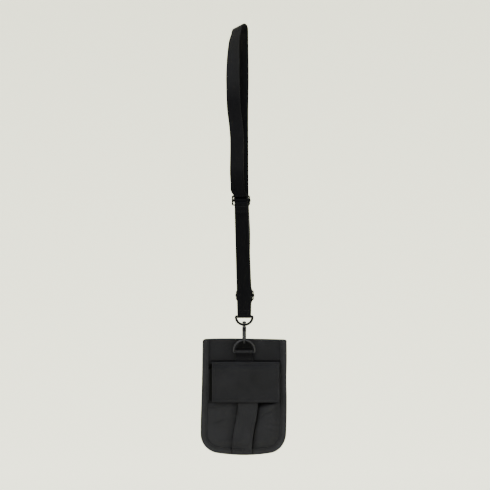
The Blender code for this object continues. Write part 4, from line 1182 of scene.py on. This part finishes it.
# Painted shade: in the slot and along the flap's seam, inside the ring, and a little over the whole panel
across, up = x / RING_SHADE_HALF[0], (z - RING_SHADE_Z) / RING_SHADE_HALF[1]
shade = np.maximum(shade, RING_SHADE_DARK * ease((1 - across ** 2 - up ** 2) / RING_SHADE_SOFT)) + FRONT_SHADE
front = cloth("pouch_front", settled(x, y, z), PANEL_THICK + HEM_MORE[1] * hem, uv, rubbed_top - shade, NYLON)
sewn(front, "pouch", "nylon", ["front_panel"])

# %% [markdown]
# ## Pocket with its box pleat
# The pocket is one cloth. At the middle it doubles back under itself on both sides, so that the pocket
# can open out. Its columns follow that folded line, and its lower end is caught in the edge binding.

# %% Pocket folds
POCKET_DROP = 0.0015
POCKET_MOUTH = RING_BAR[1] - TAB_LENGTH - POCKET_DROP
POCKET_Y, POCKET_SWELL = PANEL_FACE - GAP - CAD_POCKET / 2, 0.0043
POCKET_THICK = 0.0006
PLEAT_HALF, TUCK_HALF = 0.0135, 0.0060
PLY, TURN = 0.0010, 0.0005
PLEAT_TOP_X, PLEAT_FOOT_X = 0.0052, -0.0030
SIDE = POUCH_HALF - PANEL_INSET
NOTCH = (-0.0108, -0.5379)
# Columns lie closer at the slot beside the flap and at the pleat's edges, as shares of the plain cloth
SLOT_SHARE, EDGE_SHARE, LEAST_SHARE = (0.14, 0.28), (0.81, 0.89), 0.003


def pleat_middle(z):
    """The pleat leans, so its middle goes sideways on the way down."""
    return ease((FLAP_FOOT - z) / (FLAP_FOOT - POUCH_FOOT - RIM), PLEAT_TOP_X, PLEAT_FOOT_X)


# The folded line from the left of the pleat to its right: sideways offset, and plies before the pocket
edge = TURN - PLEAT_HALF
turn_in = arc((-TUCK_HALF, 0.5), (TURN, 0.5), -90, 90, 6)
turn_out = arc((edge, 1.5), (TURN, 0.5), 270, 90, 6)
under = np.stack([np.linspace(-TUCK_HALF, edge, 7)[1:-1], np.full(5, 1.0)], axis=1)
face = np.stack([np.linspace(edge, -edge, 24)[1:-1], np.full(22, 2.0)], axis=1)
half_pleat = np.concatenate([turn_in, under, turn_out])
pleat = np.concatenate([half_pleat, face, (half_pleat * (-1, 1))[::-1]])
plain = np.sin(np.linspace(0, 1, 46)[:-1] * math.pi / 2)
plain = np.unique(np.concatenate([plain, np.linspace(*SLOT_SHARE, 20), np.linspace(*EDGE_SHARE, 18)]))
plain = plain[np.append(np.diff(plain) > LEAST_SHARE, True)]


def fold_x(middle):
    """Sideways places of the pocket's columns when its pleat is centred on middle."""
    return np.concatenate([plain * (middle - TUCK_HALF + SIDE) - SIDE, middle + pleat[:, 0],
                           plain[::-1] * (middle + TUCK_HALF - SIDE) + SIDE], axis=-1)


z = sheet_grid(fold_x(PLEAT_FOOT_X), POCKET_MOUTH, (FLAP_FOOT, FLAP_FOOT - 0.004, NOTCH[1]))
middle = pleat_middle(z[:, z.shape[1] // 2])[:, None]
x = widen(fold_x(middle), z, PANEL_INSET)
off = x - middle
no_ply = np.zeros(len(plain))
ply = np.broadcast_to(np.concatenate([no_ply, pleat[:, 1], no_ply]), x.shape)
flat_part, front_part = ply < 0.6, ply > 1.4
print("pocket grid", z.shape)

# %% [markdown]
# ## Hollows and creases
# Used cloth sinks in beside the pleat, most at the right under the flap, and bulges between. The pleat's
# right edge stands a little open, with painted shade in the gap. Its left edge has a thin line of painted
# shade, with a dark notch of painted shade below the flap, and a few short creases cross the cloth.

# %% Pocket hollows
POCKET_RIM, POCKET_SLOPE, PLEAT_FULL = RIM - 0.002, 0.0120, 0.35
# Where below the flap's foot a change starts, and its span
BELOW_FLAP, UNDER_FLAP = (0.001, 0.010), (-0.0055, 0.0050)
HOLLOW_DEPTH, HOLLOW_WIDTH = 0.0038, 0.030
HOLLOW_DROP, LEAST_DROP = 0.0125, 0.0005
# Hollows along the pleat: depth, place from its middle, spread. The flap's left has one of depth and spread
PLEAT_HOLLOWS = ((0.0010, 0.015, 0.006), (0.0008, -0.015, 0.005))
LEFT_HOLLOW = (0.0014, 0.006)
# Short creases: place, lean of the line, half length
CREASES = ((0.0440, -0.5530, -0.10, 0.012), (0.0400, -0.5610, -0.25, 0.009), (-0.0400, -0.5290, 0.15, 0.010),
           (-0.0330, -0.5480, 0.40, 0.008), (0.0330, -0.5370, 0.55, 0.010))
CREASE_SPREAD = 0.0013
WANDER = (1.0, 0.007, 6.3)
GAP_IN, GAP_OUT, GAP_WANDER = 0.0012, 0.0021, 0.0008
GAP_SOFT = (0.0006, 0.0007)
# The line of painted shade along the pleat's left edge: its place out from the edge, spread, and how strongly
# it shows and wanders
CRACK_OUT, CRACK_SPREAD, CRACK_SHOW = 0.0008, 0.0010, (0.6, 0.9)
# Spread of the notch of painted shade
NOTCH_SPREAD = (0.0025, 0.0013)
PROUD, PROUD_FROM, PROUD_SPAN = 0.0013, -0.004, 0.016
POCKET_HILLS = ((0.0006, 0.024, 11.7), (0.0002, 0.009, 5.5))


def past_flap(z, start, span):
    """From 0 to 1 on the way down past the flap's foot."""
    return ease((FLAP_FOOT - start - z) / span)


full = swelled(from_edge(x, z), POCKET_RIM, POCKET_SLOPE)
full = np.where(ply > 0.3, np.maximum(full, PLEAT_FULL), full)
below_flap = past_flap(z, *BELOW_FLAP)
drop = np.maximum(HOLLOW_DROP * (1 - (off - PLEAT_HALF) / HOLLOW_WIDTH), LEAST_DROP)
hollow = HOLLOW_DEPTH * past_flap(z, *UNDER_FLAP) * ease(1 - (FLAP_FOOT - z) / drop) * (off > 0)
hollow += sum(depth * near(off, at, spread) for depth, at, spread in PLEAT_HOLLOWS)
hollow += LEFT_HOLLOW[0] * near(z, FLAP_FOOT, LEFT_HOLLOW[1]) * (off < 0)
crease = sum(near(z, z0 + lean * (x - x0), CREASE_SPREAD) * near(x, x0, spread)
             for x0, z0, lean, spread in CREASES)
wander = crumple(np.zeros(z.shape), z, WANDER)
gap = ease((off - PLEAT_HALF + GAP_IN) / GAP_SOFT[0])
gap = gap * ease((PLEAT_HALF + GAP_OUT + GAP_WANDER * wander - off) / GAP_SOFT[1])
# Painted shade along the pleat's left edge, and at the notch below the flap
crack_shade = np.clip(CRACK_SHOW[0] + CRACK_SHOW[1] * wander + (z > NOTCH[1]), 0, 1)
crack_shade = near(off, -PLEAT_HALF - CRACK_OUT, CRACK_SPREAD) * crack_shade
notch_shade = near(x, NOTCH[0], NOTCH_SPREAD[0]) * near(z, NOTCH[1], NOTCH_SPREAD[1])
proud = PROUD * below_flap * ease((off - PROUD_FROM) / PROUD_SPAN) * front_part
ripple = below_flap * crumple(x, z, *POCKET_HILLS)
print("hollow to", round(1000 * float(hollow.max()), 1), "mm deep")

# %% [markdown]
# ## The pocket's cloth
# Depth is laid up from those forms, and the deep places are painted dark as shade. The pocket is also
# painted a little paler all over as light, and darker in its creases as shade.

# %% Pocket cloth
GAP_DEPTH, CREASE_DEPTH, SLOT_DEPTH = 0.0012, 0.0006, 0.0015
PLEAT_HILLS = (0.0004, 0.020, 8.8)
# Painted light over the pocket, and the darkness of painted shade in its creases and its slot
POCKET_TONE, CREASE_DARK, SLOT_DARK = 0.22, 0.3, 1.1
# Where the painted line along the pleat's left edge starts below the flap's foot, and its span
CRACK_START = (0, 0.002)
# Hollows this deep are painted fully dark as shade
DARKEST_HOLLOW = 0.0034
# The flap's shadow: its tones at left and right, where they change, its drop below the foot and its spread
SHADOW_TONES, SHADOW_FROM, SHADOW_SPAN = (0.9, 0.6), -0.006, 0.012
SHADOW_DROP, SHADOW_SPREAD = 0.0004, 0.0017

sunk = full * flat_part * (hollow + ripple + GAP_DEPTH * gap + CREASE_DEPTH * crease)
y = POCKET_Y - POCKET_SWELL * full + sunk - ply * PLY - proud
y += SLOT_DEPTH * full * slot_shade(x, z)
y += crumple(x, z, PLEAT_HILLS) * front_part * below_flap
steps = np.hypot(np.diff(x, axis=1), np.diff(y, axis=1))
along = np.concatenate([np.zeros((len(z), 1)), np.cumsum(steps, axis=1)], axis=1)
# Painted light over the pocket, less in its creases, which are painted darker as shade
painted_tone = POCKET_TONE - CREASE_DARK * crease * flat_part
# Painted shade in the pleat's gap, along its left edge, in the hollows, at the notch, under the flap and in
# the slot
shade = np.maximum(gap * below_flap, crack_shade * past_flap(z, *CRACK_START))
shade = np.maximum(shade, np.clip(hollow / DARKEST_HOLLOW, 0, 1)) * flat_part
shadow = ease((off - SHADOW_FROM) / SHADOW_SPAN, *SHADOW_TONES)
shadow = shadow * near(z, FLAP_FOOT - SHADOW_DROP, SHADOW_SPREAD)
for darker in (notch_shade, shadow, SLOT_DARK * slot_shade(x, z)):
    shade = np.maximum(shade, darker)
uv = np.stack([along, z], axis=2)
pocket = cloth("pocket", settled(x, y, z), POCKET_THICK, uv, painted_tone - shade, NYLON)
sewn(pocket, "pouch", "nylon", ["pocket_panel", "pocket_pleat"])

# %% [markdown]
# ## Edge binding
# A woven tape folded over the raw edges of all the layers and sewn through. Where the pleat's extra
# plies end under it at the foot, it rides over them in a low hump, whose sides are painted with lines of
# shade. Its seam's groove is painted darker as shade.

# %% Binding
BINDING_THICK = 0.0008
BINDING_FRONT = POCKET_Y - CAD_POCKET / 2 - GAP - BINDING_THICK / 2
BINDING_BACK = BACK_Y + CAD_PANEL / 2 + GAP + BINDING_THICK / 2
BINDING_INSET = 0.0004
NOSE, NOSE_DEPTH, NOSE_TURN, NOSE_CUT = 0.0026, 0.0022, 78, 0.002
SEAM_INSET = 0.0070
# The seam's groove: its dip, spread, and the darkness of the painted shade in it
SEWN_DIP, SEWN_SPREAD, SEWN_DARK = 0.00025, 0.0006, 0.5
HUMP, HUMP_PAST, HUMP_SOFT, HUMP_RISE = 0.0034, 0.0025, 0.003, 0.006
BINDING_HILLS = (0.00018, 0.014, 2.4)
# Painted shade along the hump's sides: its darkness, place out from the pleat's edge, and spread
STEP_DARK, STEP_OUT, STEP_SPREAD = 0.8, 0.0006, 0.0008
EDGE_RUB, EDGE_SPREAD = 0.25, 0.0012

outside, inside = edge_line(BINDING_INSET, 30), edge_line(BINDING_WIDTH, 30)
depth = (BINDING_BACK - BINDING_FRONT) / 2
lip = np.linspace(0, 1, 12)
nose = np.radians(np.linspace(-NOSE_TURN, NOSE_TURN, 13))
section = [(BINDING_WIDTH + (NOSE - BINDING_WIDTH) * s, -1.0) for s in lip]
section += [(NOSE - NOSE_DEPTH * math.cos(t), math.sin(t)) for t in nose]
section += [(NOSE + (BINDING_WIDTH - NOSE) * s, 1.0) for s in lip]
inset, side = np.array(section).T[:, :, None]
share = (inset - BINDING_INSET) / (BINDING_WIDTH - BINDING_INSET)
at = outside + (inside - outside) * share[..., None]
x, z = at[..., 0], at[..., 1]
on_front, at_foot = side < 0, z < LEVEL_Z
from_pleat = np.abs(x - PLEAT_FOOT_X)
hump = ease((PLEAT_HALF + HUMP_PAST - from_pleat) / HUMP_SOFT) * at_foot
lifted = HUMP * hump * ease(inset / HUMP_RISE) + crumple(x, z, BINDING_HILLS)
sewn_in = near(inset, SEAM_INSET, SEWN_SPREAD)
y = (BINDING_FRONT + BINDING_BACK) / 2 + side * depth - on_front * lifted - side * SEWN_DIP * sewn_in
hump_side_shade = STEP_DARK * near(from_pleat, PLEAT_HALF + STEP_OUT, STEP_SPREAD) * at_foot * on_front
# Paler rubbing at the folded edge; painted shade along the hump's sides and in the seam's groove
wear_and_shading = near(inset, BINDING_INSET, EDGE_SPREAD) * EDGE_RUB - np.maximum(hump_side_shade, SEWN_DARK * sewn_in)
along, across = run_length(outside), run_length(np.concatenate([inset, side * depth], axis=1))
uv = np.stack(np.broadcast_arrays(along[None], across[:, None]), axis=2)
binding = cloth("edge_tape", settled(x, y, z), BINDING_THICK, uv, wear_and_shading, BINDING)
sewn(binding, "pouch", "binding", ["edge_binding"])

# %% [markdown]
# ## Flap
# Outer cloth and lining, turned in at their edges and sewn along the top to the front panel. It steps
# out over the tab's end and the pocket's mouth, then hangs straight.

# %% Flap
FLAP_TOP_Y, FLAP_LOW_Y = RING_BAR[0] - 0.0005, RING_BAR[0] - 0.0046
FLAP_STEP, FLAP_THICK = 0.0013, 0.0009
LINING_THICK, LINING_INSET = 0.0005, 0.0010
FLAP_TOP_SEAM, TOP_SPREAD = 0.0034, 0.0010
FLAP_RIM_SEAM, RIM_SPREAD, RIM_DROP = 0.0026, 0.0009, 0.003
RIM_DIP = 0.00022
TURNED_IN, TURNED_SOFT, TURNED_RISE = 0.0024, 0.0008, 0.00018
FLAP_HILLS, FLAP_SOFT, FLAP_BACK = (0.0004, 0.030, 21.4), 0.01, 0.0002
FOOT_CURL, CURL_SPAN = 0.0009, 0.014
# Paler rubbing along the flap's edges and top, and a little painted shade over the whole flap
FLAP_RUB, FLAP_RUB_SPREAD, FLAP_DARK = 0.2, 0.0010, 0.1


def flap_sheet(name, step, thickness, inset, material, node):
    """The outer cloth, which lies a step before the lining and shows its seams and waves, or the lining."""
    side = np.linspace(-1, 1, 74) * (FLAP_HALF - inset)
    height = np.linspace(FLAP_TOP, FLAP_FOOT + inset, 56)
    x, z = np.meshgrid(FLAP_X + side, height)
    y = ease((FLAP_TOP - z) / (FLAP_TOP - POCKET_MOUTH), FLAP_TOP_Y, FLAP_LOW_Y) - step
    rim = np.minimum(FLAP_HALF - np.abs(x - FLAP_X), z - FLAP_FOOT)
    top = near(z, FLAP_TOP - FLAP_TOP_SEAM, TOP_SPREAD)
    seam = near(rim, FLAP_RIM_SEAM, RIM_SPREAD) * (z < FLAP_TOP - RIM_DROP)
    if step:
        y += RIM_DIP * np.maximum(top, seam) - TURNED_RISE * ease((TURNED_IN - rim) / TURNED_SOFT)
        y -= crumple(x, z, FLAP_HILLS) * ease(rim / FLAP_SOFT) - FLAP_BACK
    y -= FOOT_CURL * ease((FLAP_FOOT + CURL_SPAN - z) / CURL_SPAN)
    # Rubbing at the edges and top, less a little painted shade all over
    wear_and_shading = near(np.minimum(rim, FLAP_TOP - z), 0, FLAP_RUB_SPREAD) * FLAP_RUB - FLAP_DARK
    piece = cloth(name, np.stack([x, y, z], axis=2), thickness, np.stack([x, z], axis=2), wear_and_shading, material)
    sewn(piece, "flap", "nylon", [node])
    return piece


flap = flap_sheet("flap_cloth", FLAP_STEP, FLAP_THICK, 0.0, NYLON, "flap_outer")
flap_sheet("flap_backing", 0.0, LINING_THICK, LINING_INSET, LINING, "flap_lining")

# %% [markdown]
# ## Ring tab
# A short piece of 25 mm webbing folded round the ring's bar and sewn down flat under the flap's top.
# It is painted pale where it rolls over the bar, as a highlight and as rubbing, and painted dark as shadow
# just below.

# %% Tab
TAB_FOOT = RING_BAR[1] - TAB_LENGTH
# The painted highlight of the roll starts just below the bar, and the painted shadow below it has a place and
# a spread
ROLL_DROP, ROLL_SOFT = 0.0010, 0.001
ROLL_SHADOW_DROP, ROLL_SHADOW_SPREAD = 0.0030, 0.0016
TAB_TONE, ROLL_HIGHLIGHT_AND_RUB, ROLL_SHADOW_DARK = 0.1, 0.9, 0.6

tab_back, tab_roll = RING_BAR[0] + TAB_LOOP, RING_BAR[0] - TAB_LOOP
tab_front = tab_back - TAB_THICK - GAP
line = np.concatenate([run((tab_back, TAB_FOOT), (tab_back, RING_BAR[1]), 12),
                       arc(RING_BAR, (TAB_LOOP, TAB_LOOP), 0, 180, 30)[1:],
                       run((tab_roll, RING_BAR[1]), (tab_front, FLAP_TOP), 16)[1:],
                       run((tab_front, FLAP_TOP), (tab_front, TAB_FOOT), 6)[1:]])
# Painted highlight and rubbing on the roll, and painted shadow under it
on_roll = ease((line[:, 1] - RING_BAR[1] + ROLL_DROP) / ROLL_SOFT)
below_roll = near(line[:, 1], RING_BAR[1] - ROLL_SHADOW_DROP, ROLL_SHADOW_SPREAD)
tab, tab_length = band("ring_strap", stations(0.0, line[:, 0], line[:, 1]), 0.0, TAB_WIDTH, TAB_THICK,
                       TAB_TONE + ROLL_HIGHLIGHT_AND_RUB * on_roll - ROLL_SHADOW_DARK * below_roll)
sewn(tab, "pouch", "webbing", ["ring_tab"])

# %% [markdown]
# ## Stitches
# Lockstitch shows as a row of short raised thread lengths, each sunk at its ends. Geometry Nodes lay
# them: a seam line is resampled at the stitch pitch, and one spindle of thread, with few faces, is set
# on each point along the line. One tree serves every seam, and seams of one kind become one mesh.


# %% Stitch tree
def stitch_tree():
    """The nodes that turn a seam's curve into stitches."""
    tree = bpy.data.node_groups.new("seam of stitches", "GeometryNodeTree")
    face = tree.interface
    face.new_socket(name="Seam", in_out="INPUT", socket_type="NodeSocketGeometry")
    for name in ("Pitch", "Length", "Thread"):
        face.new_socket(name=name, in_out="INPUT", socket_type="NodeSocketFloat")
    face.new_socket(name="Finish", in_out="INPUT", socket_type="NodeSocketMaterial")
    face.new_socket(name="Stitches", in_out="OUTPUT", socket_type="NodeSocketGeometry")
    given = add(tree, "NodeGroupInput")
    points = add(tree, "GeometryNodeResampleCurve", {
        "Curve": given.outputs["Seam"], "Length": given.outputs["Pitch"]}, mode="LENGTH")
    ball = add(tree, "GeometryNodeMeshUVSphere", {"Segments": 8, "Rings": 6, "Radius": 0.5})
    size = add(tree, "ShaderNodeCombineXYZ", {
        "X": given.outputs["Length"], "Y": given.outputs["Thread"], "Z": given.outputs["Thread"]})
    spindle = add(tree, "GeometryNodeTransform", {
        "Geometry": ball.outputs["Mesh"], "Scale": size.outputs["Vector"]})
    along = add(tree, "GeometryNodeInputTangent")
    turn = add(tree, "FunctionNodeAlignRotationToVector", {"Vector": along.outputs["Tangent"]}, axis="X")
    row = add(tree, "GeometryNodeInstanceOnPoints", {
        "Points": points.outputs["Curve"], "Instance": spindle.outputs["Geometry"],
        "Rotation": turn.outputs["Rotation"]})
    real = add(tree, "GeometryNodeRealizeInstances", {"Geometry": row.outputs["Instances"]})
    painted = add(tree, "GeometryNodeSetMaterial", {
        "Geometry": real.outputs["Geometry"], "Material": given.outputs["Finish"]})
    add(tree, "NodeGroupOutput", {"Stitches": painted.outputs["Geometry"]})
    return tree


STITCHES = stitch_tree()
print("stitch tree", len(STITCHES.nodes), "nodes")

# %% [markdown]
# ## Sewing
# Lines become one curve object, the tree grows its stitches, and only their mesh is kept.


# %% Sewing helpers
def grown(source, tree, values):
    """The mesh that a node tree makes of a source object, which is then removed."""
    step = source.modifiers.new("nodes", "NODES")
    step.node_group = tree
    sockets = {item.name: item.identifier for item in tree.interface.items_tree if item.in_out == "INPUT"}
    for name, value in values.items():
        step[sockets[name]] = value
    bpy.context.view_layer.update()
    graph = bpy.context.evaluated_depsgraph_get()
    mesh = bpy.data.meshes.new_from_object(source.evaluated_get(graph))
    bpy.data.objects.remove(source, do_unlink=True)
    mesh.shade_smooth()
    return mesh


def seams(name, body, lines, stitch):
    """Sew every line with one stitch, given as its pitch, length and thread."""
    curve = bpy.data.curves.new(name, "CURVE")
    curve.dimensions = "3D"
    for line in lines:
        spline = curve.splines.new("POLY")
        spline.points.add(len(line) - 1)
        for point, co in zip(spline.points, line):
            point.co = (*co, 1)
    source = placed(name + "_lines", curve)
    values = dict(zip(("Pitch", "Length", "Thread"), stitch), Finish=THREAD)
    mesh = grown(source, STITCHES, values)
    mesh.name = name
    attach(placed(name, mesh), body)
    print(name, len(mesh.polygons), "faces")


print("sewing helpers ready")

# %% [markdown]
# ## Seams on the cloth
# A seam is drawn as seen from the front or the back, and each of its points is then set on the cloth.

# %% Seam helpers
LIFT = 0.00008
STRAP_SEAM_HALF = 0.0085


def on_surface(piece, line, front=True):
    """Lift (x, z) points onto a piece's nearest face, seen from the front or the back."""
    bpy.context.view_layer.update()
    start, way = (-0.2, 1) if front else (0.2, -1)
    found = []
    for x, z in line:
        hit, place = piece.ray_cast((x, start, z), (0, way, 0))[:2]
        if hit:
            found.append((place.x, place.y - way * LIFT, place.z))
    return found


def straight(x0, z0, x1, z1, steps=60):
    """Points on a straight seam, seen from the front."""
    return np.stack([np.linspace(x0, x1, steps), np.linspace(z0, z1, steps)], axis=1)


def across_strap(piece, x, z):
    """A row of points across a stretch of the strap."""
    return on_surface(piece, straight(x - STRAP_SEAM_HALF, z, x + STRAP_SEAM_HALF, z, 24))


print("seams lie", LIFT, "m off the cloth")

# %% [markdown]
# ## The pouch's seams
# They run along the binding on both faces, along the hems at the mouth, beside the pleat's edges and
# across the tab.

# %% Pouch seams
PANEL_STITCH = (0.0027, 0.0021, 0.00050)
HEM_SEAM_HALF = 0.0485
PLEAT_SEAM_TOP, PLEAT_SEAM_FOOT, PLEAT_SEAM_IN = 0.004, 0.0125, 0.0026
TAB_SEAM_HALF, TAB_SEAM_Z = 0.0112, (-0.4612, -0.4632)

band_seam = np.stack(settle(*edge_line(SEAM_INSET)[2:-2].T), axis=1)
hem_seam = np.stack(settle(*straight(-HEM_SEAM_HALF, HEM_Z, HEM_SEAM_HALF, HEM_Z).T), axis=1)
pleat_z = np.linspace(FLAP_FOOT + PLEAT_SEAM_TOP, POUCH_FOOT + PLEAT_SEAM_FOOT, 60)
pouch_lines = [on_surface(binding, band_seam), on_surface(binding, band_seam, False)]
pouch_lines += [on_surface(front, hem_seam), on_surface(back, hem_seam, False)]
for side in (-1, 1):
    shift = side * (PLEAT_HALF - PLEAT_SEAM_IN)
    pouch_lines.append(on_surface(pocket, np.stack([pleat_middle(pleat_z) + shift, pleat_z], axis=1)))
pouch_lines += [on_surface(tab, straight(-TAB_SEAM_HALF, z, TAB_SEAM_HALF, z, 30)) for z in TAB_SEAM_Z]
seams("pouch_stitches", "pouch", pouch_lines, PANEL_STITCH)

# %% [markdown]
# ## The flap's and the strap's seams
# One seam runs along the flap's top and one round its other edges. Rows cross the strap's sewn end and
# the webbing above the bail.

# %% Flap and strap seams
STRAP_STITCH = (0.0019, 0.0015, 0.00045)
RIM_SEAM_DROP = 0.002
STRAP_END_RISE = (0.0020, 0.0036, 0.0095)
STRAP_LOOP_Z = (-0.3975, -0.3950)

low, high = FLAP_FOOT + FLAP_RIM_SEAM, FLAP_TOP - FLAP_TOP_SEAM
left, right = FLAP_X - FLAP_HALF + FLAP_RIM_SEAM, FLAP_X + FLAP_HALF - FLAP_RIM_SEAM
below = high - RIM_SEAM_DROP
rim_line = np.concatenate([straight(left, below, left, low), straight(left, low, right, low),
                           straight(right, low, right, below)])
flap_lines = [on_surface(flap, straight(left, high, right, high)), on_surface(flap, rim_line)]
seams("flap_stitches", "flap", flap_lines, PANEL_STITCH)

hem_foot = FRONT[2] - HEM_LENGTH
hem_x = float(strap_x(hem_foot))
hem_lines = [across_strap(strap["head_hem"], hem_x, hem_foot + rise) for rise in STRAP_END_RISE]
seams("strap_end_stitches", "front_slider", hem_lines, STRAP_STITCH)
loop_lines = [across_strap(strap["bail_loop"], 0, z) for z in STRAP_LOOP_Z]
seams("strap_loop_stitches", "strap", loop_lines, STRAP_STITCH)

# %% [markdown]
# ## Bar tacks
# At the pleat's foot two close rows of stitches bind the plies to the binding. A short one holds the
# pleat's left edge a little below the flap.

# %% Bar tacks
TACK_STITCH = (0.0009, 0.0016, 0.00045)
TACK_X = (PLEAT_FOOT_X + 0.0010, PLEAT_FOOT_X + 0.0065)
TACK_FOOT, TACK_TOP = 0.0012, 0.0075
TACK_HALF = 0.0009
TICK_HALF, TICK_RISE = 0.0018, 0.0003

tick = straight(NOTCH[0] - TICK_HALF, NOTCH[1] - TICK_RISE, NOTCH[0] + TICK_HALF, NOTCH[1] + TICK_RISE, 8)
tack_lines = [on_surface(pocket, tick)]
for x in TACK_X:
    foot = float(foot_z(x, 0))
    z = np.linspace(foot + TACK_FOOT, foot + TACK_TOP, 16)
    zigzag = np.stack([x + TACK_HALF * (-1.0) ** np.arange(len(z)), z], axis=1)
    tack_lines.append(on_surface(binding, zigzag))
seams("pouch_tacks", "pouch", tack_lines, TACK_STITCH)

# %% [markdown]
# ## Fastener tape
# Under the flap, moulded hook tape meets brushed loop tape. Hooks and loops are a third of a millimetre
# high, so the CAD pads keep their shape and the finish carries the cells and the fuzz.

# %% Fastener tape
for node, finish in (("flap_tape_left", HOOK_TAPE), ("flap_tape_right", HOOK_TAPE),
                     ("pocket_tape_left", LOOP_TAPE), ("pocket_tape_right", LOOP_TAPE)):
    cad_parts[node].data.materials[0] = finish
    print(node, finish.name)
